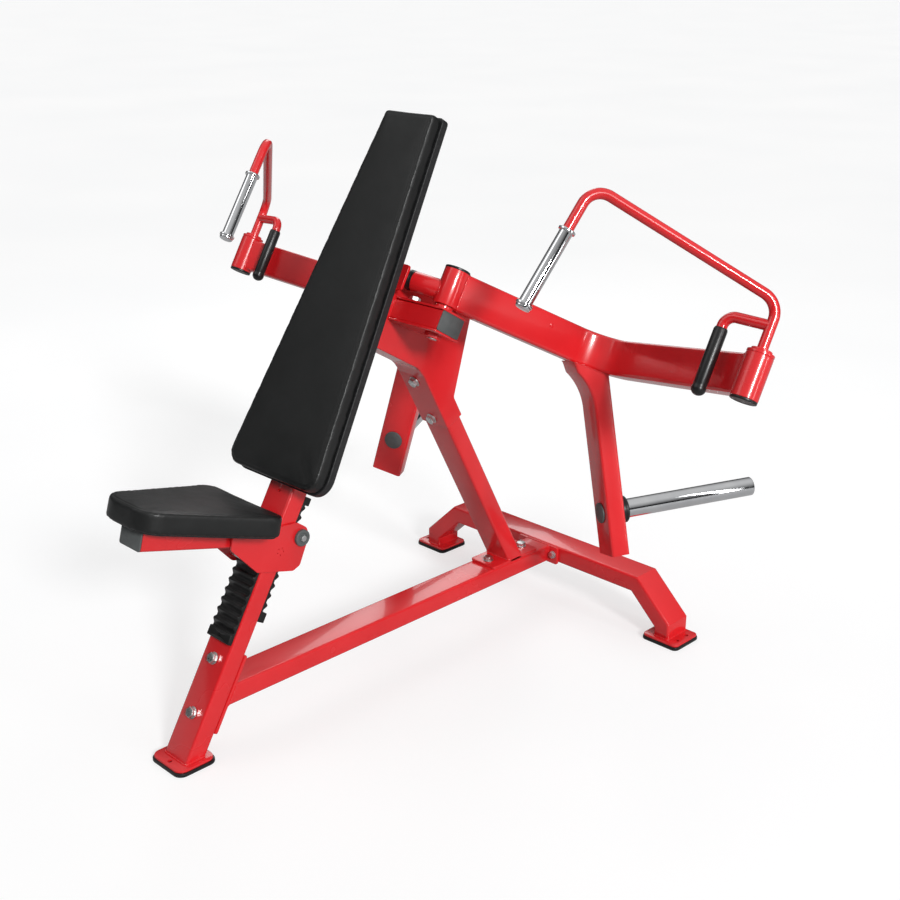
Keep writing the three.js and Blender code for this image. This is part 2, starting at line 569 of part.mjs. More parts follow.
function weightArm() {
  const tube = (wide, thin, low, high) => {
    const box = new THREE.BoxGeometry(wide, thin, high - low);
    return toSolid(box.translate(0, 0, (low + high) / 2).applyMatrix4(dropMatrix));
  };
  const gusset = [[1 - thinHalf, DROP_LENGTH - FLARE_LENGTH]];
  for (let step = 0; step <= 6; step += 1) {
    const angle = (step * 15) * DEGREE;
    const into = Math.sin(angle);
    gusset.push([-thinHalf - FLARE_REACH * (1 - Math.cos(angle)), DROP_LENGTH - FLARE_LENGTH * (1 - into)]);
  }
  gusset.push([1 - thinHalf, DROP_LENGTH]);
  const flare = extrude(outline(gusset), TUBE_WIDE - 1).translate(0, 0, (1 - TUBE_WIDE) / 2)
    .applyMatrix4(new THREE.Matrix4().makeBasis(through, lengthwise, across).setPosition(DROP_BOTTOM));
  const skin = join(tube(TUBE_WIDE - 1, TUBE_THIN, 0, DROP_LENGTH), toSolid(flare));
  const hollow = tube(TUBE_WIDE - 1 - 2 * WALL, TUBE_THIN - 2 * WALL, -10, DROP_LENGTH + 10);
  const above = (clearance) => rising(outline([[0, 0], [900, 0], [900, 1200], [0, 1200]]),
    -ARM_HEIGHT / 2 - clearance, 400);
  const bore = hole(dropPoint(0, 0, HORN_UP), through, 60, 8.5);
  return cut(skin, cut(hollow, above(WALL + GAP)), above(GAP), bore);
}

const hornRoot = dropPoint(0, thinHalf, HORN_UP);
const hornAhead = dropPoint(0, thinHalf + 1, HORN_UP);
const armFace = dropPoint(0, -thinHalf, HORN_UP);
const armAhead = dropPoint(0, -thinHalf - 1, HORN_UP);

function weightHorn() {
  const start = HORN_BUMPER + 2 * GAP;
  const end = start + HORN_LENGTH;
  const rounding = [0, 30, 60].map((angle) => [
    HORN_RADIUS - 9 + 9 * Math.cos(angle * DEGREE), end - 9 + 9 * Math.sin(angle * DEGREE)]);
  const profile = [[0, -TUBE_THIN - 2], [8, -TUBE_THIN - 2], [8, start], [HORN_RADIUS, start], ...rounding,
    [HORN_RADIUS - 9, end], [0, end]];
  return turned(profile, hornRoot, hornAhead, 24);
}

function hornBumper() {
  const profile = [[8.6, GAP], [35, GAP], [36, 3], [36, HORN_BUMPER - 3], [34, HORN_BUMPER],
    [8.6, HORN_BUMPER], [8.6, GAP]];
  return turned(profile, hornRoot, hornAhead);
}

function hornPlug() {
  const profile = [[8.6, GAP], [PLUG_RADIUS, GAP], [PLUG_RADIUS, 4], [PLUG_RADIUS - 2, 6], [13, 6], [11, 10],
    [0, 10], [0, 5], [8.6, 5], [8.6, GAP]];
  return turned(profile, armFace, armAhead);
}

// A domed cap on a housing's end, with a plug in its bore.
function roundCap(x, y, seat, direction, radius) {
  const foot = new THREE.Vector3(x, y, seat);
  const profile = [[0, -CAP_PLUG], [SHAFT_RADIUS, -CAP_PLUG], [SHAFT_RADIUS, GAP], [radius, GAP],
    [radius, CAP_THICK - 2.5], [radius - 3, CAP_THICK], [0, CAP_THICK]];
  return turned(profile, foot, foot.clone().setZ(seat + direction));
}

addPair(leaning, 'pivot_housing', pivotHousing(), RED);
addPair(leaning, 'pivot_cap', roundCap(PIVOT_X, PIVOT_BACK, PIVOT_HIGH, 1, HOUSING_RADIUS), BLACK_PLASTIC);
addPair(leaning, 'stop_bumper', stopBumper(), RUBBER);
addPair(leaning, 'press_arm', pressArm(), RED);
addPair(leaning, 'weight_arm', weightArm(), RED);
addPair(leaning, 'weight_horn', weightHorn(), CHROME);
addPair(leaning, 'horn_bumper', hornBumper(), RUBBER);
addPair(leaning, 'horn_plug', hornPlug(), GREY_PLASTIC);
addPair(leaning, 'handle_cap', roundCap(OUTER_X, OUTER_BACK, OUTER_LOW, -1, HOUSING_RADIUS - 0.5),
  BLACK_PLASTIC);

// ---- Handles ----
const gripUp = GRIP_BEND.clone().sub(GRIP_END).normalize();
const gripPoint = (distance) => GRIP_END.clone().addScaledVector(gripUp, distance);

function handleFrame() {
  const axis = (up) => new THREE.Vector3(OUTER_X, OUTER_BACK, up);
  const loop = bentBar([axis(OUTER_HIGH), axis(HANDLE_TOP), GRIP_BEND, GRIP_END], [55, 50], HANDLE_RADIUS, 34);
  const hook = bentBar([axis(HOOK_LEVEL), new THREE.Vector3(HOOK_X, HOOK_BACK, HOOK_LEVEL),
    new THREE.Vector3(HOOK_X, HOOK_BACK, HOOK_END)], [28], HANDLE_RADIUS, 14);
  const pin = ring(OUTER_X, OUTER_BACK, OUTER_LOW + 8, OUTER_HIGH + 2, SHAFT_RADIUS);
  const flange = ring(OUTER_X, OUTER_BACK, OUTER_HIGH + GAP, OUTER_HIGH + 6, 24);
  const keeper = rod(gripPoint(-5), gripPoint(0), 18);
  return join(loop, hook, pin, flange, keeper);
}

// A revolving sleeve with a collar at each end.
function chromeGrip() {
  const [bore, sleeve, collar] = [HANDLE_RADIUS + 0.5, 15.5, 20];
  const profile = [[bore, 0], [collar, 0], [collar, 6], [sleeve, 7], [sleeve, GRIP_LENGTH - 7],
    [collar, GRIP_LENGTH - 6], [collar, GRIP_LENGTH], [bore, GRIP_LENGTH], [bore, 0]];
  return turned(profile, gripPoint(GAP), gripPoint(50));
}

// A moulded sleeve that ends in a round knob below the bar.
function rubberGrip() {
  const [bore, skin, length] = [HANDLE_RADIUS + 0.4, 16, 159];
  const foot = new THREE.Vector3(HOOK_X, HOOK_BACK, HOOK_END - KNOB_DEPTH);
  const knob = [[0, 0], [8, 1.5], [14, 6], [17, 13], [17, 18], [skin, 24]];
  const profile = [...knob, [skin, length - 2], [skin - 1.5, length], [bore, length],
    [bore, KNOB_DEPTH - GAP], [0, KNOB_DEPTH - GAP]];
  return turned(profile, foot, foot.clone().setZ(HOOK_END));
}

addPair(leaning, 'handle_frame', handleFrame(), RED);
addPair(leaning, 'chrome_grip', chromeGrip(), CHROME);
addPair(leaning, 'rubber_grip', rubberGrip(), RUBBER);

// ---- Back rest ----
const backOutline = (margin, bottomRadius, topRadius) => roundedShape(
  [[-BACK_HALF_BOTTOM + margin, BACK_BOTTOM + margin], [BACK_HALF_BOTTOM - margin, BACK_BOTTOM + margin],
    [BACK_HALF_TOP - margin, BACK_TOP - margin], [-BACK_HALF_TOP + margin, BACK_TOP - margin]],
  [bottomRadius, bottomRadius, topRadius, topRadius]);
add(leaning, 'back_cushion', prismY(backOutline(0, 60, 16), BACK_FRONT, -BACK_BOARD - 2 * GAP), VINYL);
add(leaning, 'back_board', prismY(backOutline(-BOARD_MARGIN, 62, 18), -BACK_BOARD - GAP, -GAP), BOARD);

// ---- Seat and its carriage ----
const seatOutline = (margin) => roundedShape(
  [[-SEAT_HALF_FRONT + margin, SEAT_FRONT + margin], [SEAT_HALF_FRONT - margin, SEAT_FRONT + margin],
    [SEAT_HALF_REAR - margin, SEAT_REAR - margin], [-SEAT_HALF_REAR + margin, SEAT_REAR - margin]],
  SEAT_CORNERS.map((radius) => radius - margin));
const tubeTop = -SEAT_CUSHION - SEAT_BOARD - 3 * GAP;
const tubeBottom = tubeTop - SEAT_TUBE_HIGH;
const tubeHalf = SEAT_TUBE_WIDE / 2;

// The tube carries a spacer on each side, which the brackets are welded to.
function seatTube() {
  const skin = block(-tubeHalf, tubeHalf, SEAT_TUBE_FRONT, SEAT_TUBE_REAR, tubeBottom, tubeTop);
  const spacer = block(tubeHalf - 1, BRACKET_INNER - GAP, SPACER_FRONT, SEAT_TUBE_REAR - SPACER_MARGIN,
    tubeBottom + SPACER_MARGIN, tubeTop - SPACER_MARGIN);
  return cut(join(skin, ...bothSides(spacer)), block(WALL - tubeHalf, tubeHalf - WALL, SEAT_TUBE_FRONT - 5,
    SEAT_TUBE_REAR + 5, tubeBottom + WALL, tubeTop - WALL));
}

function seatTubeCap() {
  const face = block(-tubeHalf, tubeHalf, SEAT_TUBE_FRONT - 5, SEAT_TUBE_FRONT - GAP, tubeBottom, tubeTop);
  const inner = WALL + GAP;
  return join(face, block(inner - tubeHalf, tubeHalf - inner, SEAT_TUBE_FRONT - 1, SEAT_TUBE_FRONT + 12,
    tubeBottom + inner, tubeTop - inner));
}

function seatBracket() {
  const corners = [[-117, 517], [-16, 484], [90, 512], [104, 530], [98, 590], [84, 622], [45, 626], [-68, 574],
    [-131, 558]];
  const plate = prismX(corners.map(([back, up]) => onPost(back, up)), BRACKET_INNER, BRACKET_OUTER);
  return cut(plate, hole(at(50, onPost(ROLLER_BACK, ROLLER_LEVEL)), X, 20, 8.6),
    hole(at(50, onPost(PAWL_FRONT, PAWL_LEVEL)), X, 20, PIN_RADIUS + 0.5));
}

function seatRoller() {
  const centre = onPost(ROLLER_BACK, ROLLER_LEVEL);
  const bar = (reach, radius) => rod(at(-reach, centre), at(reach, centre), radius);
  const disc = [[0, 0], [21, 0], [21, 6], [19, 8], [9, 8], [8, 12], [0, 12]];
  const cheeks = bothSides(turned(disc, at(BRACKET_OUTER + GAP, centre), at(100, centre)));
  return join(bar(BRACKET_OUTER + 2, 8), bar(44, 10), ...cheeks);
}

function seatPawl() {
  const centre = onPost(PAWL_FRONT, PAWL_LEVEL);
  return rod(at(-BRACKET_OUTER - 1, centre), at(BRACKET_OUTER + 1, centre), PIN_RADIUS);
}

// A toothed strip on one face of the post; direction is -1 on the front face and 1 on the rear face.
function rack(face, direction, low, blockHeight) {
  const reach = (height) => face + direction * height;
  const teethTop = low + TOOTH_PITCH + TOOTH_COUNT * TOOTH_PITCH;
  const teeth = Array.from({ length: TOOTH_COUNT }, (_, i) => {
    const start = low + TOOTH_PITCH + i * TOOTH_PITCH;
    return [[reach(5), start], [reach(5), start + 7], [reach(12), start + 16], [reach(12), start + 20]];
  }).flat();
  const highBlock = reach(blockHeight);
  const profile = [[reach(GAP), low], [highBlock, low], [highBlock, low + TOOTH_PITCH], ...teeth,
    [reach(5), teethTop], [highBlock, teethTop], [highBlock, teethTop + 20], [reach(GAP), teethTop + 20]];
  const points = profile.map(([back, up]) => onPost(back, up));
  return prismX(direction > 0 ? points : points.reverse(), -RACK_HALF, RACK_HALF);
}

const rackScrewHole = hole(at(0, onPost(0, 312)), POST_FORWARD, 40, 5);
add(base, 'front_rack', cut(rack(0, -1, 300, 13), rackScrewHole), BLACK_PLASTIC);
add(base, 'rear_rack', rack(TUBE_THIN, 1, 370, 20), BLACK_PLASTIC);
add(seatFrame, 'seat_cushion', prismZ(seatOutline(0), -SEAT_CUSHION, 0), VINYL);
add(seatFrame, 'seat_board', prismZ(seatOutline(SEAT_BOARD_INSET), -SEAT_CUSHION - SEAT_BOARD - GAP,
  -SEAT_CUSHION - GAP), BOARD);
add(seatFrame, 'seat_tube', seatTube(), RED);
add(seatFrame, 'seat_tube_cap', seatTubeCap(), GREY_PLASTIC);
addPair(base, 'seat_bracket', seatBracket(), RED);
add(base, 'seat_roller', seatRoller(), GREY_PLASTIC);
add(base, 'seat_pawl_pin', seatPawl(), ZINC);

// ---- The origin is the middle of the footprint, on the floor ----
machine.updateMatrixWorld(true);
const bounds = new THREE.Box3().setFromObject(machine, true);
base.position.set(-(bounds.min.x + bounds.max.x) / 2, -(bounds.min.y + bounds.max.y) / 2, -bounds.min.z);
machine.updateMatrixWorld(true);

export default machine;
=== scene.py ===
"""Looks of a plate-loaded chest press machine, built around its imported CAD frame.

The row frame is in metres: +Z up, the user faces -Y and +X is to the user's left.
Pieces are drawn in millimetres in the machine's own frames and placed by those frames' matrices.
Left pieces are drawn, and mirrored for the right side.
"""

import math

import bmesh
import bpy
from mathutils import Matrix, Vector
from mathutils.kdtree import KDTree


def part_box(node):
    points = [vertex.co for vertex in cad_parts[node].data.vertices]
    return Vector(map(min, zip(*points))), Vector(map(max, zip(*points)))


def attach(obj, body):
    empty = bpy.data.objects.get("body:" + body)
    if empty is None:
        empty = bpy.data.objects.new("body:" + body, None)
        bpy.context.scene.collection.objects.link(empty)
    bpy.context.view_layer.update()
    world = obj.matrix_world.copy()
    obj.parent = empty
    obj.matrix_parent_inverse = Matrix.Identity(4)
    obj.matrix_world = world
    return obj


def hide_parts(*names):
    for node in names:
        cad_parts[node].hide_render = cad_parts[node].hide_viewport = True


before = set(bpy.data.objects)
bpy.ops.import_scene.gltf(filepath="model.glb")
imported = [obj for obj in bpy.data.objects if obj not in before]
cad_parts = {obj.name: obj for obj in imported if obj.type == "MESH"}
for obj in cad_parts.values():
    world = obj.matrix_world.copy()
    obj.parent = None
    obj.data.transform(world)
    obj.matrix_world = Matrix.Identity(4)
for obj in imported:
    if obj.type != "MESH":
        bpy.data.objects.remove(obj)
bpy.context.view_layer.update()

# ---- Driving dimensions, in millimetres ----
SPINE_END = 1302.7  # rear face of the spine's end plate, behind the front of the post's foot
FOOT_LIFT = 16  # foot plate and rubber pad under the base
TUBE_WIDE = 90
TUBE_THIN = 50
TUBE_CORNER = 7
WALL = 3
PLATE = 8
GAP = 0.3
BASE_TOP = 155
BASE_BOTTOM = 105
POST_LENGTH = 1285
REAR_BEAM_Y = 1303
REAR_BEND_X = 352.6
REAR_FOOT_X = 453.5
REAR_FOOT_BEND = 35
REAR_FOOT_Y = 1344
UPRIGHT_LENGTH = 715
SLEEVE_START = 526
SLEEVE_WALL = 4
HEAD_BOTTOM = 1088
HEAD_TOP = 1280
HEAD_DEPTH = 355
EAR_HALF = 86
EAR_BOTTOM = 1236
EAR_TOP = 1298
PIVOT = Vector((170, 125, 0))
PIVOT_LOW = 1236
PIVOT_HIGH = 1325
BEAM_HALF = 210
BEAM_DEEP = 80
BEAM_LOW = 1169
BEAM_HIGH = 1219
BEAM_SKIN = 5
HOUSING_RADIUS = 31.5
SHAFT_RADIUS = 15
ARM_HEIGHT = 92
ARM_MIDDLE = 1279
ARM_RISE = math.radians(2.3)
ARM_BEND = Vector((308, 620, 0))
ARM_BEND_RADIUS = 100
OUTER = Vector((898, 341, 0))
OUTER_LOW = 1236
OUTER_HIGH = 1344
STOP_ANGLE = math.radians(23.2)
STOP_LEVEL = 1270
STOP_RADIUS = 25
STOP_REACH = 96
DROP_BOTTOM = Vector((437.5, 782, 833))
DROP_YAW = math.radians(-31.5)
DROP_TILT = math.radians(29.6)
DROP_LENGTH = 540
FLARE_LENGTH = 105  # the weight arm is deeper at its top
FLARE_RADIUS = 152
HORN_UP = 112
HORN_RADIUS = 25
HORN_LENGTH = 370
HORN_BUMPER = 18
HANDLE_RADIUS = 12.5
HANDLE_TOP = 1459
GRIP_BEND = Vector((565, 11, 1545))
GRIP_END = Vector((531, -22, 1248))
GRIP_LENGTH = 190
HOOK_LEVEL = 1405
HOOK = Vector((791, 327, 1232))
KNOB_DEPTH = 17
BACK_BOTTOM = 704
BACK_TOP = 1641
BACK_HALF_BOTTOM = 168
BACK_HALF_TOP = 84
BACK_FRONT = -54
BACK_BOARD = 20
SEAT_FRONT = -158
SEAT_REAR = 190
SEAT_HALF_FRONT = 88
SEAT_HALF_REAR = 156
SEAT_CUSHION = 42
SEAT_BOARD = 12
COVER_MESH = 0.005  # metres between the points of a cushion's cover
HELD_DEPTH = 0.0035  # metres of a cover's foot that stay on the board
SEAM_WIDTH = 0.0055
SEAM_DEPTH = 0.0013
SWELL_FRAMES = 20
SHRINK = 0.4  # what the filling takes up again
SEAT_TUBE_HALF = 40
SEAT_TUBE_HIGH = 50
SEAT_TUBE_FRONT = -118
SEAT_TUBE_REAR = 220
BRACKET_INNER = 46.3
BRACKET_OUTER = 52.3
ROLLER = Vector((0, 74, 595))
PAWL = Vector((0, -24, 505))
BOLT = 8  # thread radius
SMALL_BOLT = 6
CREASE = 35  # degrees; a sharper edge is drawn sharp
TOOTH_PITCH = 25
TOOTH_COUNT = 11
RACK_HALF = 42

# ---- Frames of reference: each turns a point in millimetres into the row frame ----
X = Vector((1, 0, 0))
Y = Vector((0, 1, 0))
Z = Vector((0, 0, 1))
ORIGIN = Vector((0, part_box("base_spine")[1].y - SPINE_END / 1000, FOOT_LIFT / 1000))
POST_LEAN = math.radians(30.5)
MACHINE = Matrix.Translation(ORIGIN) @ Matrix.Scale(0.001, 4)
LEANING = MACHINE @ Matrix.Rotation(-POST_LEAN, 4, "X")
UPRIGHT_LEAN = math.radians(27.9)
UPRIGHT_FOOT = Vector((0, 1119, BASE_TOP + PLATE))
UPRIGHT = MACHINE @ Matrix.Translation(UPRIGHT_FOOT) @ Matrix.Rotation(UPRIGHT_LEAN, 4, "X")
SEAT_LEAN = math.radians(15.5)
SEAT = MACHINE @ Matrix.Translation((0, 75, 640)) @ Matrix.Rotation(-SEAT_LEAN, 4, "X")
RISE = (Matrix.Translation((0, PIVOT.y, ARM_MIDDLE)) @ Matrix.Rotation(ARM_RISE, 4, "X")
        @ Matrix.Translation((0, -PIVOT.y, 0)))


def between(source, target):
    """The matrix that turns a point of one frame into another frame's."""
    return target.inverted() @ source


# ---- Camera and light ----
def add_object(name, data):
    thing = bpy.data.objects.new(name, data)
    bpy.context.scene.collection.objects.link(thing)
    return thing


def add_camera():
    data = bpy.data.cameras.new("camera")
    data.lens = 53.33
    data.sensor_width = 36
    camera = add_object("camera", data)
    camera.location = (2.382, -2.1568, 1.7981)
    camera.rotation_euler = (math.radians(69.77), 0, math.radians(44.96))
    bpy.context.scene.camera = camera


def add_area_light(name, place, target, size, power):
    data = bpy.data.lights.new(name, "AREA")
    data.shape = "RECTANGLE"
    data.size, data.size_y = size
    data.energy = power
    lamp = add_object(name, data)
    lamp.location = place
    lamp.rotation_euler = (Vector(target) - Vector(place)).to_track_quat("-Z", "Y").to_euler()


def add_sun(name, direction, strength, angle):
    data = bpy.data.lights.new(name, "SUN")
    data.energy = strength
    data.angle = math.radians(angle)
    add_object(name, data).rotation_euler = Vector(direction).to_track_quat("-Z", "Y").to_euler()


def add_world(low, high, strength, backdrop):
    """Light that is darker near the horizon than overhead, and a pale backdrop behind the floor's edge."""
    world = bpy.data.worlds.new("studio")
    world.use_nodes = True
    tree = world.node_tree
    link = tree.links.new
    place = tree.nodes.new("ShaderNodeTexCoord")
    split = tree.nodes.new("ShaderNodeSeparateXYZ")
    link(place.outputs["Generated"], split.inputs["Vector"])
    light = tree.nodes["Background"]
    link(ramp(tree, split.outputs["Z"], 0.2, 0.85, low, high), light.inputs["Color"])
    light.inputs["Strength"].default_value = strength
    wall = add_node(tree, "ShaderNodeBackground", Color=(*backdrop, 1), Strength=1)
    seen = tree.nodes.new("ShaderNodeLightPath")
    choice = tree.nodes.new("ShaderNodeMixShader")
    link(seen.outputs["Is Camera Ray"], choice.inputs[0])
    link(light.outputs["Background"], choice.inputs[1])
    link(wall.outputs["Background"], choice.inputs[2])
    link(choice.outputs["Shader"], tree.nodes["World Output"].inputs["Surface"])
    bpy.context.scene.world = world


# ---- Materials ----
def add_node(tree, kind, **inputs):
    node = tree.nodes.new(kind)
    for key, value in inputs.items():
        node.inputs[key.replace("_", " ")].default_value = value
    return node


def noise_of(tree, scale, detail=3.0, stretch=(1, 1, 1), roughness=0.5):
    place = tree.nodes.new("ShaderNodeTexCoord")
    mapping = add_node(tree, "ShaderNodeMapping", Scale=stretch)
    texture = add_node(tree, "ShaderNodeTexNoise", Scale=scale, Detail=detail, Roughness=roughness)
    tree.links.new(place.outputs["Object"], mapping.inputs["Vector"])
    tree.links.new(mapping.outputs["Vector"], texture.inputs["Vector"])
    return texture.outputs["Fac"]


def cells_of(tree, scale):
    place = tree.nodes.new("ShaderNodeTexCoord")
    texture = add_node(tree, "ShaderNodeTexVoronoi", Scale=scale)
    texture.feature = "SMOOTH_F1"
    tree.links.new(place.outputs["Object"], texture.inputs["Vector"])
    return texture.outputs["Distance"]


def ramp(tree, value, low, high, dark, light):
    """Blends between two colours as value goes from low to high."""
    node = tree.nodes.new("ShaderNodeValToRGB")
    first, last = node.color_ramp.elements
    first.position, first.color = low, (*dark, 1)
    last.position, last.color = high, (*light, 1)
    tree.links.new(value, node.inputs["Fac"])
    return node.outputs["Color"]


def spread(tree, value, low, high):
    """Turns a noise value into a range."""
    node = add_node(tree, "ShaderNodeMapRange", From_Min=0.3, From_Max=0.7, To_Min=low, To_Max=high)
    tree.links.new(value, node.inputs["Value"])
    return node.outputs["Result"]


def bump(tree, height, depth, strength, under=None):
    node = add_node(tree, "ShaderNodeBump", Strength=strength, Distance=depth)
    tree.links.new(height, node.inputs["Height"])
    if under is not None:
        tree.links.new(under, node.inputs["Normal"])
    return node.outputs["Normal"]


def surface(name, tint, gloss=None, relief=(), **values):
    """Makes a material from noises, given as (scale, detail, stretch, roughness) as far as needed.

    Tint is (noise, low, high, dark, light), gloss is (noise, least, most) roughness, and relief holds
    (pattern function, its values, depth in metres, strength) for each layer of bumps.
    """
    material = bpy.data.materials.new(name)
    material.use_nodes = True
    tree = material.node_tree
    shader = tree.nodes["Principled BSDF"]
    pattern, *blend = tint
    tree.links.new(ramp(tree, noise_of(tree, *pattern), *blend), shader.inputs["Base Color"])
    if gloss:
        pattern, *span = gloss
        tree.links.new(spread(tree, noise_of(tree, *pattern), *span), shader.inputs["Roughness"])
    normal = None
    for pattern_of, pattern, depth, strength in relief:
        normal = bump(tree, pattern_of(tree, *pattern), depth, strength, normal)
    if relief:
        tree.links.new(normal, shader.inputs["Normal"])
    for key, value in values.items():
        shader.inputs[key.replace("_", " ")].default_value = value
    return material


def studio_floor():
    """A white floor that glows towards the camera, as a bleached studio floor does."""
    material = surface("studio_floor", ((0.6, 3), 0.3, 0.7, (0.38, 0.385, 0.39), (0.42, 0.42, 0.42)),
                       Roughness=0.7, Specular_IOR_Level=0.1, Emission_Color=(1, 1, 1, 1))
    tree = material.node_tree
    seen = tree.nodes.new("ShaderNodeLightPath")
    glow = add_node(tree, "ShaderNodeMapRange", To_Min=0.04, To_Max=0.62)
    tree.links.new(seen.outputs["Is Camera Ray"], glow.inputs["Value"])
    tree.links.new(glow.outputs["Result"], tree.nodes["Principled BSDF"].inputs["Emission Strength"])
    return material


def moulded_plastic(name, dark, light, least, most):
    return surface(name, ((45, 4), 0.3, 0.7, dark, light), ((200, 3), least, most),
                   [(cells_of, (1500,), 0.0002, 0.2)])


MATERIALS = {
    "red_frame": surface("red_powder_coat", ((6, 4), 0.3, 0.7, (0.66, 0.012, 0.016), (0.74, 0.017, 0.022)),
                         ((5,), 0.22, 0.28), [(noise_of, (700, 0), 0.0001, 0.04)],
                         Coat_Weight=0.5, Coat_Roughness=0.06),
    "zinc_steel": surface("zinc_plate", ((90, 4), 0.35, 0.7, (0.5, 0.5, 0.49), (0.78, 0.79, 0.8)),
                          ((260, 4), 0.22, 0.42), [(noise_of, (900, 2), 0.0001, 0.15)], Metallic=1),
    "chrome": surface("polished_chrome", ((25, 3), 0.3, 0.7, (0.72, 0.73, 0.75), (0.8, 0.81, 0.82)),
                      ((8, 2), 0.04, 0.08), Metallic=1),
    "rubber": surface("moulded_rubber", ((60, 5), 0.3, 0.75, (0.004, 0.004, 0.0045), (0.01, 0.01, 0.0105)),
                      ((150, 4), 0.28, 0.4), [(noise_of, (1200, 3), 0.0002, 0.25)]),
    "grey_plastic": moulded_plastic("grey_plastic", (0.075, 0.082, 0.082), (0.1, 0.108, 0.108), 0.44, 0.58),
    "black_plastic": moulded_plastic("black_plastic", (0.003,) * 3, (0.007,) * 3, 0.3, 0.44),
    # Upholstery vinyl: a pebbled grain under slow changes of tone and gloss.
    "vinyl": surface("grained_vinyl",
                     ((9, 6, (1, 1, 1), 0.6), 0.3, 0.72, (0.007, 0.0075, 0.0075), (0.0115, 0.012, 0.012)),
                     ((14, 5), 0.36, 0.48),
                     [(cells_of, (750,), 0.0006, 0.3), (noise_of, (55, 4), 0.001, 0.16)],
                     Specular_IOR_Level=0.4),
    "board": surface("painted_board",
                     ((30, 5, (1, 1, 6)), 0.3, 0.7, (0.007, 0.007, 0.008), (0.016, 0.016, 0.017)),
                     ((80, 4), 0.42, 0.6), [(noise_of, (500, 4), 0.0003, 0.2)]),
}


# ---- Mesh tools; a shape is a bmesh in millimetres ----
def rounded(points, radius, steps=5, closed=True):
    """Replaces each corner of an outline or path by an arc; radius is one number, or one for each corner."""
    count = len(points)
    radii = [radius] * count if isinstance(radius, (int, float)) else list(radius)
    result = []
    for i, corner in enumerate(points):
        if radii[i] <= 0 or (not closed and i in (0, count - 1)):
            result.append(corner.copy())
            continue
        back = points[i - 1] - corner
        ahead = points[(i + 1) % count] - corner
        half = back.angle(ahead) / 2
        if half > math.radians(89):
            result.append(corner.copy())
            continue
        trim = min(radii[i] / math.tan(half), 0.49 * back.length, 0.49 * ahead.length)
        back.normalize()
        ahead.normalize()
        centre = corner + (back + ahead).normalized() * (trim / math.cos(half))
        first = corner + back * trim - centre
        last = corner + ahead * trim - centre
        turn = math.pi - 2 * half
        for k in range(steps + 1):
            share = k / steps
            spoke = (first * math.sin((1 - share) * turn) + last * math.sin(share * turn)) / math.sin(turn)
            result.append(centre + spoke)
    return result


def box_outline(left, right, low, high, radius=0):
    corners = [Vector(p) for p in ((left, low), (right, low), (right, high), (left, high))]
    return rounded(corners, radius) if radius else corners


def rectangle(wide, thin):
    return box_outline(-wide / 2, wide / 2, -thin / 2, thin / 2)


def tube_outline(wide, thin, corner=TUBE_CORNER, inset=0):
    return rounded(rectangle(wide - 2 * inset, thin - 2 * inset), max(corner - inset, 1.5), 6)


def skin(shape, loops):
    """Adds the closed surface through loops of points that all have the same count."""
    rings = [[shape.verts.new(p) for p in loop] for loop in loops]
    for low, high in zip(rings, rings[1:]):
        for i in range(len(low)):
            j = (i + 1) % len(low)
            shape.faces.new((low[i], low[j], high[j], high[i]))
    shape.faces.new(list(reversed(rings[0])))
    shape.faces.new(rings[-1])


def slab(shape, outline, low, high, facing=Matrix.Identity(4)):
    """Adds a sharp-edged plate: an outline between two heights, turned by the facing matrix."""
    skin(shape, [[facing @ Vector((p.x, p.y, height)) for p in outline] for height in (low, high)])


def slide_to_plane(point, axis, plane):
    where, normal = plane
    return point + axis * ((where - point).dot(normal) / axis.dot(normal))


def straight_tube(shape, start, end, across, wide=TUBE_WIDE, thin=TUBE_THIN, cut_start=None, cut_end=None,
                  open_start=False, open_end=False, corner=TUBE_CORNER):
    """Adds a rectangular tube; a cut is a plane (point, normal), and an open end shows the hollow inside."""
    axis = (end - start).normalized()
    through = axis.cross(across)

    def loop(centre, inset, plane):
        points = [centre + across * p.x + through * p.y for p in tube_outline(wide, thin, corner, inset)]
        return [slide_to_plane(p, axis, plane) if plane else p for p in points]

    loops = [loop(start, 0, cut_start), loop(end, 0, cut_end)]
    if open_start:
        loops = [loop(start + axis * 150, WALL, None), loop(start, WALL, cut_start)] + loops
    if open_end:
        loops += [loop(end, WALL, cut_end), loop(end - axis * 150, WALL, None)]
    skin(shape, loops)
    return loops


def path_loops(path, normal, outline):
    """Sections of a tube along a flat path: outline x lies in the path's plane and y along its normal."""
    loops = []
    for i, point in enumerate(path):
        into = (point - path[max(i - 1, 0)]).normalized() if i else (path[1] - point).normalized()
        out = (path[i + 1] - point).normalized() if i < len(path) - 1 else into
        tangent = (into + out).normalized()
        side = tangent.cross(normal)
        widen = 1 / tangent.dot(out)
        loops.append([point + side * p.x * widen + normal * p.y for p in outline])
    return loops


def ring(centre, side, other, radius, count):
    """Points round a circle in the plane of two square directions."""
    turns = [2 * math.pi * k / count for k in range(count)]
    return [centre + (side * math.cos(a) + other * math.sin(a)) * radius for a in turns]


def lathe(shape, profile, foot, axis, sides=64):
    """Adds a solid of revolution; profile holds (radius, distance from the foot along the axis) pairs."""
    axis = axis.normalized()
    side = axis.orthogonal().normalized()
    other = axis.cross(side)
    rings = []
    for radius, distance in profile:
        centre = foot + axis * distance
        if radius < 1e-6:
            rings.append([shape.verts.new(centre)])
            continue
        rings.append([shape.verts.new(point) for point in ring(centre, side, other, radius, sides)])
    if profile[0] == profile[-1]:
        for vertex in rings[-1]:
            shape.verts.remove(vertex)
        rings[-1] = rings[0]
    for low, high in zip(rings, rings[1:]):
        for i in range(sides):
            j = (i + 1) % sides
            corners = [low[i % len(low)], low[j % len(low)], high[j % len(high)], high[i % len(high)]]
            unique = [v for k, v in enumerate(corners) if v not in corners[:k]]
            if len(unique) > 2:
                shape.faces.new(unique)


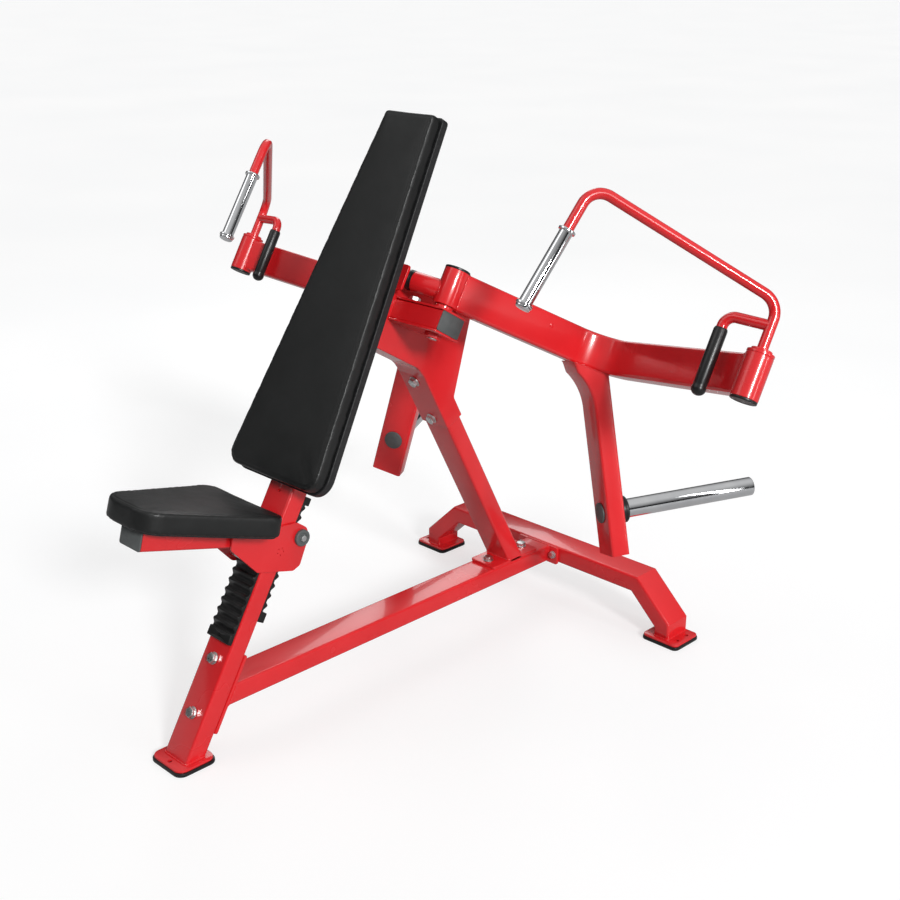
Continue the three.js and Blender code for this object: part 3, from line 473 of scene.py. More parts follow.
def turned_profile(points, radius, steps):
    """A lathe profile with rounded corners."""
    closed = points[0] == points[-1]
    corners = [Vector(p) for p in (points[:-1] if closed else points)]
    smooth = [tuple(p) for p in rounded(corners, radius, steps, closed)]
    return smooth + smooth[:1] if closed else smooth


def turn(shape, profile, radius, foot, axis, sides=64, steps=4):
    """Adds a solid of revolution with rounded corners."""
    lathe(shape, turned_profile(profile, radius, steps), foot, axis, sides)


def sweep(shape, path, radius_at, sides=24):
    """Adds a round bar along a path; radius_at gives the radius at each station."""
    side = (path[1] - path[0]).orthogonal().normalized()
    loops = []
    for i, point in enumerate(path):
        tangent = (path[min(i + 1, len(path) - 1)] - path[max(i - 1, 0)]).normalized()
        side = (side - tangent * side.dot(tangent)).normalized()
        loops.append(ring(point, side, tangent.cross(side), radius_at(i), sides))
    skin(shape, loops)


def extrude(shape, outline, low, high, edge=1.0, facing=Matrix.Identity(4)):
    """Adds a plate with a rounded rim: an outline between two heights, turned by the facing matrix."""
    middle = sum(outline, Vector((0, 0))) / len(outline)
    centre = Vector((middle.x, middle.y))
    reach = max((p - centre).length for p in outline)
    shrink = 1 - edge / reach

    def loop(height, scale):
        points = [centre + (p - centre) * scale for p in outline]
        return [facing @ Vector((p.x, p.y, height)) for p in points]

    step = edge * 0.3
    near = 1 - step / reach
    skin(shape, [loop(low, shrink), loop(low + step, near), loop(low + edge, 1),
                 loop(high - edge, 1), loop(high - step, near), loop(high, shrink)])


SIDEWAYS = Matrix(((0, 0, 1), (1, 0, 0), (0, 1, 0))).to_4x4()  # (y, z) outline, extruded along x
UPWARDS = Matrix(((1, 0, 0), (0, 0, 1), (0, 1, 0))).to_4x4()  # (x, z) outline, extruded along y
FORWARDS = Matrix(((1, 0, 0), (0, 0, -1), (0, 1, 0))).to_4x4()  # the same, extruded along -y


def resample(path, step):
    """Points round a closed path at equal steps."""
    points = path + path[:1]
    lengths = [(b - a).length for a, b in zip(points, points[1:])]
    count = max(3, round(sum(lengths) / step))
    result = []
    index, passed = 0, 0.0
    for k in range(count + 1):
        target = sum(lengths) * k / count
        while index < len(lengths) - 1 and passed + lengths[index] < target:
            passed += lengths[index]
            index += 1
        share = min(1, (target - passed) / max(lengths[index], 1e-9))
        result.append(points[index].lerp(points[index + 1], share))
    return result


def weld(shape, path, radius=2):
    """Adds a weld bead along a closed path, rippled like a row of coins."""
    step, ripple = 1.1, 3.2

    def bead(i):
        return radius * (0.82 + 0.22 * abs(math.sin(math.pi * i * step / ripple)) + 0.08 * math.sin(i * 0.37))

    sweep(shape, resample(path, step), bead, 8)


def add_mesh(name, shape):
    mesh = bpy.data.meshes.new(name)
    shape.to_mesh(mesh)
    shape.free()
    return add_object(name, mesh)


def make_piece(name, shape, where, body, slot_name, replaced=(), mirrored=False, edge=0.0, crease=CREASE):
    """Turns a shape into a piece: placed, shaded, riding on its body, and standing for its CAD nodes."""
    shape.transform(where)
    if mirrored:
        bmesh.ops.scale(shape, vec=(-1, 1, 1), verts=shape.verts)
    bmesh.ops.recalc_face_normals(shape, faces=shape.faces)
    piece = add_mesh(name, shape)
    piece.data.shade_smooth()
    piece.data.set_sharp_from_angle(angle=math.radians(crease))
    piece.data.materials.append(MATERIALS[slot_name])
    if edge:
        bevel = piece.modifiers.new("edges", "BEVEL")
        bevel.width = edge / 1000
        bevel.segments = 3
        bevel.limit_method = "ANGLE"
        bevel.angle_limit = math.radians(crease)
        bevel.harden_normals = True
    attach(piece, body)
    if replaced:
        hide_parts(*replaced)
    return piece


def finish(node, shape, where, slot_name="red_frame", body="frame", **options):
    """Makes the piece that stands for one CAD node."""
    return make_piece(f"{node}_finish", shape, where, body, slot_name, (node,), **options)


def make_pair(name, draw, body, slot_name, kind="_finish", where=LEANING, **options):
    """Makes a left and a right piece from one drawing; only a finish stands for a CAD node."""
    for side in ("left", "right"):
        shape = bmesh.new()
        draw(shape)
        replaced = (f"{side}_{name}",) if kind == "_finish" else ()
        own_body = body if body == "frame" else f"{side}_{body}"
        make_piece(f"{side}_{name}{kind}", shape, where, own_body, slot_name, replaced, side == "right",
                   **options)


def drill(piece, holes, where, depth=12):
    """Cuts round holes; each is (point, direction, radius)."""
    shape = bmesh.new()
    for point, direction, radius in holes:
        lathe(shape, [(0, -depth), (radius, -depth), (radius, depth), (0, depth)], point, direction, 24)
    shape.transform(where)
    bmesh.ops.recalc_face_normals(shape, faces=shape.faces)
    cutter = add_mesh("cutter", shape)
    boolean = piece.modifiers.new("holes", "BOOLEAN")
    boolean.object = cutter
    boolean.solver = "EXACT"
    apply_modifiers(piece)
    bpy.data.objects.remove(cutter)
    piece.data.set_sharp_from_angle(angle=math.radians(CREASE))


def apply_modifiers(piece):
    """Makes the shape that the modifiers give the piece's own mesh."""
    graph = bpy.context.evaluated_depsgraph_get()
    final = bpy.data.meshes.new_from_object(piece.evaluated_get(graph))
    piece.modifiers.clear()
    piece.data = final


def hex_prism(shape, foot, axis, radius, low, high, chamfer):
    axis = axis.normalized()
    side = axis.orthogonal().normalized()
    other = axis.cross(side)
    levels = ((low, radius), (high - chamfer, radius), (high, radius - chamfer * 1.4))
    skin(shape, [ring(foot + axis * level, side, other, reach, 6) for level, reach in levels])
    face, low, high = radius * 0.82, high - 0.2, high + 0.35
    turn(shape, [(0, low), (face, low), (face, high), (0, high)], 0.3, foot, axis, 40)


def bolt(shape, foot, outward, clamped, size):
    """Adds a hexagon bolt with its washer, thread and nut; its head stands on the surface at the foot."""
    turn(shape, [(0, GAP), (size * 1.9, GAP), (size * 1.9, 2.6), (0, 2.6)], 0.5, foot, outward, 48)
    hex_prism(shape, foot, outward, size * 1.7, 2.6, 2.2 + size * 1.2, 1.1)
    under = -clamped - GAP
    hex_prism(shape, foot, -outward, size * 1.7, -under, -under + size * 0.95, 1.1)
    end = -clamped - size * 1.6
    pitch = 1.5
    rings = int((under - size - end) / pitch)
    thread = [(size * 0.8, end)]
    for k in range(rings):
        thread += [(size * 0.86, end + (k + 0.1) * pitch), (size, end + (k + 0.5) * pitch)]
    lathe(shape, [(0, end)] + thread + [(size * 0.9, under), (size * 0.9, 2), (0, 2)], foot, outward, 32)


# ---- Front post, base and rear crossbeam ----
def post_point(x, back, up):
    return between(LEANING, MACHINE) @ Vector((x, back, up))


POST_BACK = between(LEANING, MACHINE).to_3x3() @ Y


def foot_outline(x, y, half_x, half_y, radius):
    return [Vector((x, y)) + p for p in rounded(rectangle(2 * half_x, 2 * half_y), radius, 8)]


def build_front_post():
    shape = bmesh.new()
    centre = TUBE_THIN / 2
    loops = straight_tube(shape, post_point(0, centre, -20), post_point(0, centre, POST_LENGTH), X,
                          cut_start=(Z * GAP, Z))
    post = finish("front_post", shape, MACHINE, edge=0.8)
    drill(post, [(post_point(0, 0, 683), POST_BACK, 4)], MACHINE)
    shape = bmesh.new()
    extrude(shape, foot_outline(0, 25, 60, 53, 22), -6, 0, 1.2)
    plate = finish("front_foot_plate", shape, MACHINE)
    drill(plate, [(Vector((0, -14, -3)), Z, 6)], MACHINE)
    return [[p + Z * 1.2 for p in loops[0]]]


def build_spine():
    shape = bmesh.new()
    back = TUBE_THIN + GAP + PLATE
    level = (BASE_TOP + BASE_BOTTOM) / 2
    post_face = (post_point(0, back - 0.5, 0), POST_BACK)
    loops = straight_tube(shape, Vector((0, 100, level)), Vector((0, SPINE_END - PLATE + 1, level)), X,
                          cut_start=post_face)
    post_side = between(LEANING, MACHINE) @ UPWARDS
    extrude(shape, box_outline(-45, 45, 85, 285, 5), TUBE_THIN + GAP, back, 0.8, post_side)
    extrude(shape, box_outline(-76, 76, 101, 154, 6), SPINE_END - PLATE, SPINE_END, 0.8, UPWARDS)
    finish("base_spine", shape, MACHINE, edge=0.6)
    return [[p + Y * 1.5 for p in loops[0]], [p - Y * 2.5 for p in loops[1]]]


def build_crossbeam():
    middle = (BASE_TOP + BASE_BOTTOM) / 2
    y = REAR_BEAM_Y + TUBE_WIDE / 2
    half = [(REAR_BEND_X, middle), (REAR_FOOT_X, REAR_FOOT_BEND), (REAR_FOOT_X, -1)]
    path = [Vector((-x, y, z)) for x, z in reversed(half)] + [Vector((x, y, z)) for x, z in half]
    loops = path_loops(path, Y, tube_outline(TUBE_THIN, TUBE_WIDE))
    shape = bmesh.new()
    skin(shape, loops)
    for side in (1, -1):
        extrude(shape, foot_outline(side * (REAR_FOOT_X + 4), REAR_FOOT_Y, 58, 54, 14), -6, 0, 1.2)
    beam = finish("rear_crossbeam", shape, MACHINE, edge=0.8)
    holes = [(Vector((side * (REAR_FOOT_X + 43), REAR_FOOT_Y + y_off, -3)), Z, 6)
             for side in (1, -1) for y_off in (-22, 22)]
    drill(beam, holes, MACHINE)
    return [[p + Z * 1.8 for p in loops[end]] for end in (0, 5)]


def build_feet():
    shape = bmesh.new()
    extrude(shape, foot_outline(0, 25, 63, 56, 22), -FOOT_LIFT, -6.3, 2)
    finish("front_foot_pad", shape, MACHINE, "rubber")
    rear = foot_outline(REAR_FOOT_X + 4, REAR_FOOT_Y, 60, 56, 15)
    make_pair("rear_foot_pad", lambda pad: extrude(pad, rear, -FOOT_LIFT, -6.3, 2), "frame", "rubber",
              where=MACHINE)


def build_bolts():
    clamped = PLATE + GAP + WALL
    upright_back = between(UPRIGHT, MACHINE).to_3x3() @ Y
    upright_up = between(UPRIGHT, MACHINE).to_3x3() @ Z
    sleeve_front = between(UPRIGHT, MACHINE) @ Vector((0, -SLEEVE_WALL - GAP, 0))
    plate_top = BASE_TOP + PLATE + GAP
    through_post = TUBE_THIN + GAP + PLATE
    in_sleeve = SLEEVE_WALL + GAP + WALL
    for name, foot, outward, grip, size in (
            ("lower_post_bolt", post_point(0, 0, 116), -POST_BACK, through_post, BOLT),
            ("upper_post_bolt", post_point(0, 0, 254), -POST_BACK, through_post, BOLT),
            ("front_upright_bolt", Vector((0, 1080, plate_top)), Z, clamped, BOLT),
            ("rear_upright_bolt", Vector((0, 1219, plate_top)), Z, clamped, BOLT),
            ("left_spine_bolt", Vector((60, SPINE_END - PLATE, 130)), -Y, clamped, SMALL_BOLT),
            ("right_spine_bolt", Vector((-60, SPINE_END - PLATE, 130)), -Y, clamped, SMALL_BOLT),
            ("lower_head_bolt", sleeve_front + upright_up * 550, -upright_back, in_sleeve, BOLT),
            ("upper_head_bolt", sleeve_front + upright_up * 680, -upright_back, in_sleeve, BOLT)):
        shape = bmesh.new()
        bolt(shape, foot, outward, grip, size)
        finish(name, shape, MACHINE, "zinc_steel", edge=0.25)


# ---- Rear upright and head ----
def build_upright():
    shape = bmesh.new()
    centre = TUBE_THIN / 2
    to_upright = between(MACHINE, UPRIGHT)
    level = to_upright.to_3x3() @ Z
    loops = straight_tube(shape, Vector((0, centre, -20)), Vector((0, centre, UPRIGHT_LENGTH)), X,
                          cut_start=(to_upright @ (UPRIGHT_FOOT + Z * (2 - PLATE)), level))
    base = box_outline(-45, 45, 1056, 1242, 5)
    extrude(shape, base, BASE_TOP + GAP, BASE_TOP + GAP + PLATE, 0.8, to_upright)
    finish("rear_upright", shape, UPRIGHT, edge=0.6)
    plate_top = (to_upright @ (UPRIGHT_FOOT + Z * 1.3), level)
    return [[between(UPRIGHT, MACHINE) @ slide_to_plane(p, Z, plate_top) for p in loops[0]]]


def head_outline():
    """The bracket's side, as (y, z) points: a sleeve on the upright that widens into a deep box."""
    clear, low = SLEEVE_WALL + GAP, SLEEVE_START
    sleeve = [(-clear, low), (TUBE_THIN + clear, low), (TUBE_THIN + clear, low + 62), (-clear, 704)]
    corners = [between(UPRIGHT, MACHINE) @ Vector((0, back, up)) for back, up in sleeve]
    front = TUBE_THIN + PLATE + 2 * GAP
    box = [(HEAD_DEPTH, HEAD_TOP), (front, HEAD_TOP), (front, HEAD_BOTTOM), (246, HEAD_BOTTOM)]
    corners[3:3] = [post_point(0, back, up) for back, up in box]
    return rounded([Vector((p.y, p.z)) for p in corners], [0, 0, 12, 4, 4, 4, 70, 12], 10)


def build_head():
    width = TUBE_WIDE / 2 + SLEEVE_WALL + GAP
    shape = bmesh.new()
    slab(shape, head_outline(), -width, width, SIDEWAYS)
    finish("head_bracket", shape, MACHINE, edge=3.5, crease=50)
    ear = [(45, HEAD_BOTTOM), (45, EAR_BOTTOM - 8), (EAR_HALF, EAR_BOTTOM), (EAR_HALF, EAR_TOP)]
    corners = [Vector(p) for p in ear] + [Vector((-x, up)) for x, up in reversed(ear)]
    shape = bmesh.new()
    outline = rounded(corners, [2, 6, 3, 8, 8, 3, 6, 2], 4)
    slab(shape, outline, TUBE_THIN + GAP, TUBE_THIN + GAP + PLATE, UPWARDS)
    finish("head_plate", shape, LEANING, edge=1)


def build_pivot_beam():
    shape = bmesh.new()
    middle = Vector((0, PIVOT.y, (BEAM_LOW + BEAM_HIGH) / 2))
    straight_tube(shape, middle - X * BEAM_HALF, middle + X * BEAM_HALF, Y, BEAM_DEEP, BEAM_HIGH - BEAM_LOW,
                  open_start=True, open_end=True, corner=5)
    start = TUBE_WIDE / 2 + SLEEVE_WALL + 3 * GAP
    for low in (BEAM_HIGH, BEAM_LOW - BEAM_SKIN):
        for side in (1, -1):
            near, far = sorted((side * start, side * (BEAM_HALF + 4)))
            plate = box_outline(near, far, PIVOT.y - BEAM_DEEP / 2 - 4, PIVOT.y + BEAM_DEEP / 2 + 4, 4)
            extrude(shape, plate, low, low + BEAM_SKIN, 0.9)
    finish("pivot_beam", shape, LEANING, edge=0.6)


def draw_beam_cap(shape):
    high = BEAM_HIGH - BEAM_LOW
    centre = Vector((PIVOT.y, BEAM_LOW + high / 2))
    for wide, thin, low, top, edge in ((BEAM_DEEP, high - 0.6, BEAM_HALF + GAP, BEAM_HALF + 4, 1.6),
                                       (BEAM_DEEP - 7, high - 7, BEAM_HALF - 12, BEAM_HALF + 1, 1)):
        extrude(shape, [centre + p for p in tube_outline(wide, thin, 5)], low, top, edge, SIDEWAYS)


def draw_pivot_shaft(shape):
    low, high = BEAM_LOW - BEAM_SKIN - GAP, PIVOT_HIGH - 7
    wide, neck = SHAFT_RADIUS, SHAFT_RADIUS - 3
    shaft = [(0, low - 14), (neck, low - 14), (neck, low + 1), (wide, low + 1), (wide, high), (0, high)]
    turn(shape, shaft, 0.8, PIVOT, Z, 48)


def draw_shaft_collar(shape):
    """The painted collar under the housing, and the painted nut under the beam."""
    low, high, bore = BEAM_HIGH + BEAM_SKIN + GAP, PIVOT_LOW - GAP, SHAFT_RADIUS
    turn(shape, [(bore, low), (23, low), (23, high), (bore, high), (bore, low)], 1, PIVOT, Z)
    hex_prism(shape, PIVOT + Z * (BEAM_LOW - BEAM_SKIN - GAP), -Z, SHAFT_RADIUS * 1.4, 0, 11, 1.5)


def draw_stop_screw(shape):
    bolt(shape, Vector((93, 102, BEAM_HIGH + BEAM_SKIN)), Z, BEAM_SKIN + WALL, BOLT)


# ---- Press arms, in the leaning frame ----
def on_cylinder(point, towards, axis_foot, radius):
    """Slides a point along a direction to a standing cylinder's surface."""
    flat = Vector((towards.x, towards.y))
    offset = Vector((point.x - axis_foot.x, point.y - axis_foot.y))
    a = flat.dot(flat)
    b = offset.dot(flat)
    c = offset.dot(offset) - radius * radius
    return point + towards * ((-b - math.sqrt(max(b * b - a * c, 0))) / a)


def arm_loops():
    path = rounded([PIVOT, ARM_BEND, OUTER], [0, ARM_BEND_RADIUS, 0], 28, closed=False)
    return [[RISE @ p for p in loop] for loop in path_loops(path, Z, tube_outline(TUBE_THIN, ARM_HEIGHT, 8))]


def arm_end_beads():
    """The lines where the arm's tube meets the two drums."""
    loops = arm_loops()
    beads = []
    for end, inside, drum in ((loops[0], loops[1], PIVOT), (loops[-1], loops[-2], OUTER)):
        halfway = [p.lerp(q, 0.5) for p, q in zip(end, inside)]
        beads.append([on_cylinder(n, n - q, drum, HOUSING_RADIUS + 0.8) for n, q in zip(halfway, inside)])
    return beads


def draw_press_arm(shape):
    loops = arm_loops()
    step_in = (loops[1][0] - loops[0][0]).normalized() * 8
    loops[0] = [p + step_in for p in loops[0]]
    skin(shape, loops)
    wide, high, bore = HOUSING_RADIUS, OUTER_HIGH, SHAFT_RADIUS + 0.6
    groove = [(wide, high - 9), (wide - 1.2, high - 8), (wide - 1.2, high - 7), (wide, high - 6)]
    rim = [(bore, high - 30), (bore, OUTER_LOW), (wide - 1, OUTER_LOW), (wide, OUTER_LOW + 1)]
    top = [(wide, high - 1), (wide - 1, high), (bore, high), (bore, high - 30)]
    lathe(shape, rim + groove + top, OUTER, Z, 72)


STOP_DIRECTION = Vector((-math.cos(STOP_ANGLE), -math.sin(STOP_ANGLE), 0))
STOP_CENTRE = PIVOT + Z * STOP_LEVEL


def draw_arm_plug(shape):
    """A small domed plug in the outer side of the arm's first length."""
    along = (ARM_BEND - PIVOT).normalized()
    outward = Vector((along.y, -along.x, 0))
    foot = PIVOT + along * 296 + outward * (TUBE_THIN / 2) + Z * 1306
    turn(shape, [(0, -1), (7, -1), (7, 0.8), (0, 2)], [0, 0, 0.6, 0], foot, outward, 32)


def draw_pivot_housing(shape):
    bore = SHAFT_RADIUS + 0.6
    low, high = PIVOT_LOW + GAP, PIVOT_HIGH
    drum = [(bore, low), (HOUSING_RADIUS, low), (HOUSING_RADIUS, high), (bore, high), (bore, low)]
    turn(shape, drum, 1, PIVOT, Z, 72)
    stop = [(0, 20), (STOP_RADIUS, 20), (STOP_RADIUS, STOP_REACH), (0, STOP_REACH)]
    turn(shape, stop, 1, STOP_CENTRE, STOP_DIRECTION, 56)


def draw_stop_bumper(shape):
    radius = STOP_RADIUS + 0.5
    profile = [(0, GAP), (radius, GAP), (radius, 5), (radius - 1, 6), (radius, 7), (radius, 16), (0, 16)]
    foot = STOP_CENTRE + STOP_DIRECTION * STOP_REACH
    turn(shape, profile, [0, 0.5, 0.5, 0.5, 0.5, 5, 0], foot, STOP_DIRECTION, 56, 6)


def draw_round_cap(shape, foot, direction, radius):
    profile = [(0, -6), (SHAFT_RADIUS, -6), (SHAFT_RADIUS, GAP), (radius, GAP), (radius, 6),
               (radius - 5, 6.2), (radius - 7, 5.2), (0, 5.8)]
    turn(shape, profile, [0, 1, 0, 0.6, 2.4, 1, 1.5, 0], foot, direction, 64, 5)


def draw_pivot_cap(shape):
    draw_round_cap(shape, PIVOT + Z * PIVOT_HIGH, Z, HOUSING_RADIUS)


def draw_handle_cap(shape):
    draw_round_cap(shape, OUTER + Z * OUTER_LOW, -Z, HOUSING_RADIUS - 0.5)


ACROSS = Vector((math.cos(DROP_YAW), math.sin(DROP_YAW), 0))
LEVEL = Vector((-ACROSS.y, ACROSS.x, 0))
THROUGH = LEVEL * math.cos(DROP_TILT) + Z * math.sin(DROP_TILT)
LENGTHWISE = ACROSS.cross(THROUGH)


def drop_point(x, y, z):
    return DROP_BOTTOM + ACROSS * x + THROUGH * y + LENGTHWISE * z


def arm_underside(clearance=GAP):
    where = RISE @ Vector((PIVOT.x, PIVOT.y, -ARM_HEIGHT / 2 - clearance))
    return where, RISE.to_3x3() @ Z


WEIGHT_ARM_FRONT = drop_point(0, -TUBE_THIN / 2, 0)
WEIGHT_ARM_TOP = slide_to_plane(WEIGHT_ARM_FRONT, LENGTHWISE, arm_underside())
FLARE_START = (WEIGHT_ARM_TOP - WEIGHT_ARM_FRONT).length - FLARE_LENGTH


def flare_at(height):
    """How far the weight arm's front wall has curved forwards at this height along the arm."""
    into = min(max(0, height - FLARE_START), FLARE_LENGTH)
    return FLARE_RADIUS - math.sqrt(FLARE_RADIUS ** 2 - into ** 2)


def weight_arm_loop(height, inset=0):
    points = tube_outline(TUBE_WIDE - 1, TUBE_THIN, TUBE_CORNER, inset)
    return [drop_point(p.x, p.y - (flare_at(height) if p.y < 0 else 0), height) for p in points]


def draw_weight_arm(shape):
    levels = [0] + [FLARE_START + FLARE_LENGTH * k / 14 for k in range(15)]
    loops = [weight_arm_loop(150, WALL), weight_arm_loop(0, WALL)]
    loops += [weight_arm_loop(level) for level in levels]
    where, normal = arm_underside()
    for loop in loops:
        for i, point in enumerate(loop):
            if (point - where).dot(normal) > 0 or loop is loops[-1]:
                loop[i] = slide_to_plane(point, LENGTHWISE, (where, normal))
    skin(shape, loops)


def weight_arm_bead():
    plane = arm_underside(1)
    return [slide_to_plane(p, LENGTHWISE, plane) for p in weight_arm_loop(DROP_LENGTH)]


HORN_ROOT = drop_point(0, TUBE_THIN / 2, HORN_UP)


def draw_horn(shape):
    start = HORN_BUMPER + 2 * GAP
    end = start + HORN_LENGTH
    profile = [(0, -TUBE_THIN - 2), (8, -TUBE_THIN - 2), (8, start), (HORN_RADIUS, start), (HORN_RADIUS, end),
               (HORN_RADIUS - 7, end), (HORN_RADIUS - 8, end - 1.2), (0, end - 1.2)]
    turn(shape, profile, [0, 0, 0, 1, 5, 0.8, 0.6, 0], HORN_ROOT, THROUGH, 80, 6)


def draw_horn_bumper(shape):
    middle, high, bore = HORN_BUMPER / 2, HORN_BUMPER, 8.6
    profile = [(bore, GAP), (36, GAP), (36, middle - 1), (35, middle), (36, middle + 1), (36, high),
               (27, high), (26, high - 1.5), (bore, high - 1.5), (bore, GAP)]
    turn(shape, profile, [0, 2.5, 0.6, 0.6, 0.6, 3.5, 0.6, 0.6, 0], HORN_ROOT, THROUGH, 80, 5)


def draw_horn_plug(shape):
    profile = [(0, GAP), (27, GAP), (27, 5), (12, 8), (0, 8.5)]
    turn(shape, profile, [0, 0.6, 3.5, 8, 0], HORN_ROOT - THROUGH * TUBE_THIN, -THROUGH, 64, 5)


# ---- Handles, in the leaning frame ----
GRIP_UP = (GRIP_BEND - GRIP_END).normalized()


def draw_handle_frame(shape):
    def axis(up):
        return OUTER + Z * up

    hook_top = Vector((HOOK.x, HOOK.y, HOOK_LEVEL))
    grip_path = [axis(OUTER_HIGH - 20), axis(HANDLE_TOP), GRIP_BEND, GRIP_END]
    for corners, radii, steps in ((grip_path, [0, 48, 44, 0], 18),
                                  ([axis(HOOK_LEVEL), hook_top, HOOK], [0, 26, 0], 14)):
        sweep(shape, rounded(corners, radii, steps, closed=False), lambda i: HANDLE_RADIUS, 36)
    low, high = OUTER_HIGH + GAP, OUTER_HIGH + 6
    turn(shape, [(0, low), (24, low), (24, high), (0, high)], 1.5, OUTER, Z, 56)
    low, high = OUTER_LOW + 8, OUTER_HIGH + 2
    lathe(shape, [(0, low), (SHAFT_RADIUS, low), (SHAFT_RADIUS, high), (0, high)], OUTER, Z, 40)


def draw_grip_keeper(shape):
    """The polished screw cap that holds the loose grip on its bar."""
    turn(shape, [(0, -7), (17.5, -7), (18, 0), (0, 0)], [0, 3.5, 0.8, 0], GRIP_END, GRIP_UP, 48, 5)


def draw_chrome_grip(shape):
    bore, sleeve, collar, rim, length = HANDLE_RADIUS + 0.5, 15.5, 20, 6.5, GRIP_LENGTH
    profile = [(bore, 0), (collar, 0), (collar, rim), (sleeve, rim), (sleeve, length - rim),
               (collar, length - rim), (collar, length), (bore, length), (bore, 0)]
    turn(shape, profile, [0.5, 1.6, 1.6, 1.2, 1.2, 1.6, 1.6, 0.5], GRIP_END + GRIP_UP * GAP, GRIP_UP)


def draw_rubber_grip(shape):
    """A smooth moulded sleeve, ending in a round knob below the bar."""
    bore, skin_radius, length = HANDLE_RADIUS + 0.4, 16, 159
    knob = [(17 * math.sin(a), 15 - 15 * math.cos(a)) for a in (math.pi / 2 * k / 8 for k in range(9))]
    profile = knob + [(17, 18), (15.4, 23), (skin_radius, 26)]
    profile += [(skin_radius, length - 5), (skin_radius - 1.6, length), (bore, length),
                (bore, KNOB_DEPTH - GAP), (0, KNOB_DEPTH - GAP)]
    lathe(shape, profile, HOOK - Z * KNOB_DEPTH, Z, 48)


# ---- Seat carriage ----
def build_seat_frame():
    top = -SEAT_CUSHION - SEAT_BOARD - 3 * GAP
    middle = top - SEAT_TUBE_HIGH / 2
    shape = bmesh.new()
    straight_tube(shape, Vector((0, SEAT_TUBE_FRONT, middle)), Vector((0, SEAT_TUBE_REAR, middle)), X,
                  2 * SEAT_TUBE_HALF, SEAT_TUBE_HIGH, open_end=True, open_start=True, corner=6)
    spacer = box_outline(128, 214, middle - 19, middle + 19, 3)
    extrude(shape, spacer, SEAT_TUBE_HALF - 1, BRACKET_INNER - GAP, 0.6, SIDEWAYS)
    extrude(shape, spacer, -BRACKET_INNER + GAP, 1 - SEAT_TUBE_HALF, 0.6, SIDEWAYS)
    finish("seat_tube", shape, SEAT, "red_frame", "seat", edge=0.6)
    shape = bmesh.new()
    for less, corner, near, far, edge in ((0, 6, -5, -GAP, 1.8), (7, 4, -1, 12, 1)):
        outline = tube_outline(2 * SEAT_TUBE_HALF - less, SEAT_TUBE_HIGH - less, corner)
        face = [Vector((p.x, middle + p.y)) for p in outline]
        extrude(shape, face, SEAT_TUBE_FRONT + near, SEAT_TUBE_FRONT + far, edge, UPWARDS)
    finish("seat_tube_cap", shape, SEAT, "grey_plastic", "seat", edge=0.4)


def build_brackets():
    corners = ((-117, 517), (-16, 484), (90, 512), (104, 530), (98, 590), (84, 622), (45, 626), (-68, 574),
               (-131, 558))
    outline = rounded([Vector(p) for p in corners], [10, 14, 12, 12, 25, 20, 20, 30, 6], 5)
    holes = [(28 + 9 * math.cos(a), 548 + 9 * math.sin(a)) for a in (0.3, 1.5, 2.7, 3.9, 5.1)]
    for side, x in (("left", BRACKET_INNER), ("right", -BRACKET_OUTER)):
        shape = bmesh.new()
        slab(shape, outline, x, x + BRACKET_OUTER - BRACKET_INNER, SIDEWAYS)
        bracket = finish(f"{side}_seat_bracket", shape, LEANING, body="seat", edge=1)
        drill(bracket, [(Vector((x + 3, back, up)), X, 1.6) for back, up in holes], LEANING)


def build_roller():
    shape = bmesh.new()
    for side in (1, -1):
        cheek = [(0, 0), (21, 0), (21, 8), (13, 8.2), (12, 6.5), (0, 6.5)]
        face = ROLLER + X * side * (BRACKET_OUTER + GAP)
        turn(shape, cheek, [0, 0.6, 2.6, 0.8, 0.6, 0], face, X * side, 64, 5)
    lathe(shape, [(0, -44), (10, -44), (10, 44), (0, 44)], ROLLER, X, 40)
    finish("seat_roller", shape, LEANING, "grey_plastic", "seat_carriage")
    shape = bmesh.new()
    for side in (1, -1):
        hex_prism(shape, ROLLER + X * side * (BRACKET_OUTER + GAP + 6.5), X * side, 8.5, 0, 5, 0.8)
    lathe(shape, [(0, -52), (8, -52), (8, 52), (0, 52)], ROLLER, X, 40)
    make_piece("seat_roller_bolt", shape, LEANING, "seat_carriage", "zinc_steel", edge=0.25)
    shape = bmesh.new()
    half = BRACKET_INNER
    turn(shape, [(0, -half), (8, -half), (8, half), (0, half)], 0.8, PAWL, X, 40)
    finish("seat_pawl_pin", shape, LEANING, "zinc_steel", "seat")


def rack_outline(face, direction, low, block):
    """The toothed strip's side, as (back, up) points: teeth between two end blocks of the given height."""
    teeth_top = low + TOOTH_PITCH * (TOOTH_COUNT + 1)
    points = [(GAP, low), (block, low), (block, low + TOOTH_PITCH)]
    for k in range(TOOTH_COUNT):
        start = low + TOOTH_PITCH * (k + 1)
        points += [(5, start), (5, start + 7), (12, start + 16), (12, start + 20)]
    points += [(5, teeth_top), (block, teeth_top), (block, teeth_top + 20), (GAP, teeth_top + 20)]
    return rounded([Vector((face + direction * height, up)) for height, up in points], 2.2, 3)


def build_racks():
    for name, outline in (("front_rack", rack_outline(0, -1, 300, 13)),
                          ("rear_rack", rack_outline(TUBE_THIN, 1, 370, 20))):
        shape = bmesh.new()
        slab(shape, outline, -RACK_HALF, RACK_HALF, SIDEWAYS)
        rack = finish(name, shape, LEANING, "black_plastic", edge=1, crease=50)
        if name == "front_rack":
            drill(rack, [(Vector((0, -13, 312)), Y, 5)], LEANING, 9)
    shape = bmesh.new()
    turn(shape, [(0, 0), (4.5, 0), (4.5, 3), (0, 3)], 1, Vector((0, -4.5, 312)), -Y, 32)
    make_piece("rack_screw", shape, LEANING, "frame", "black_plastic")


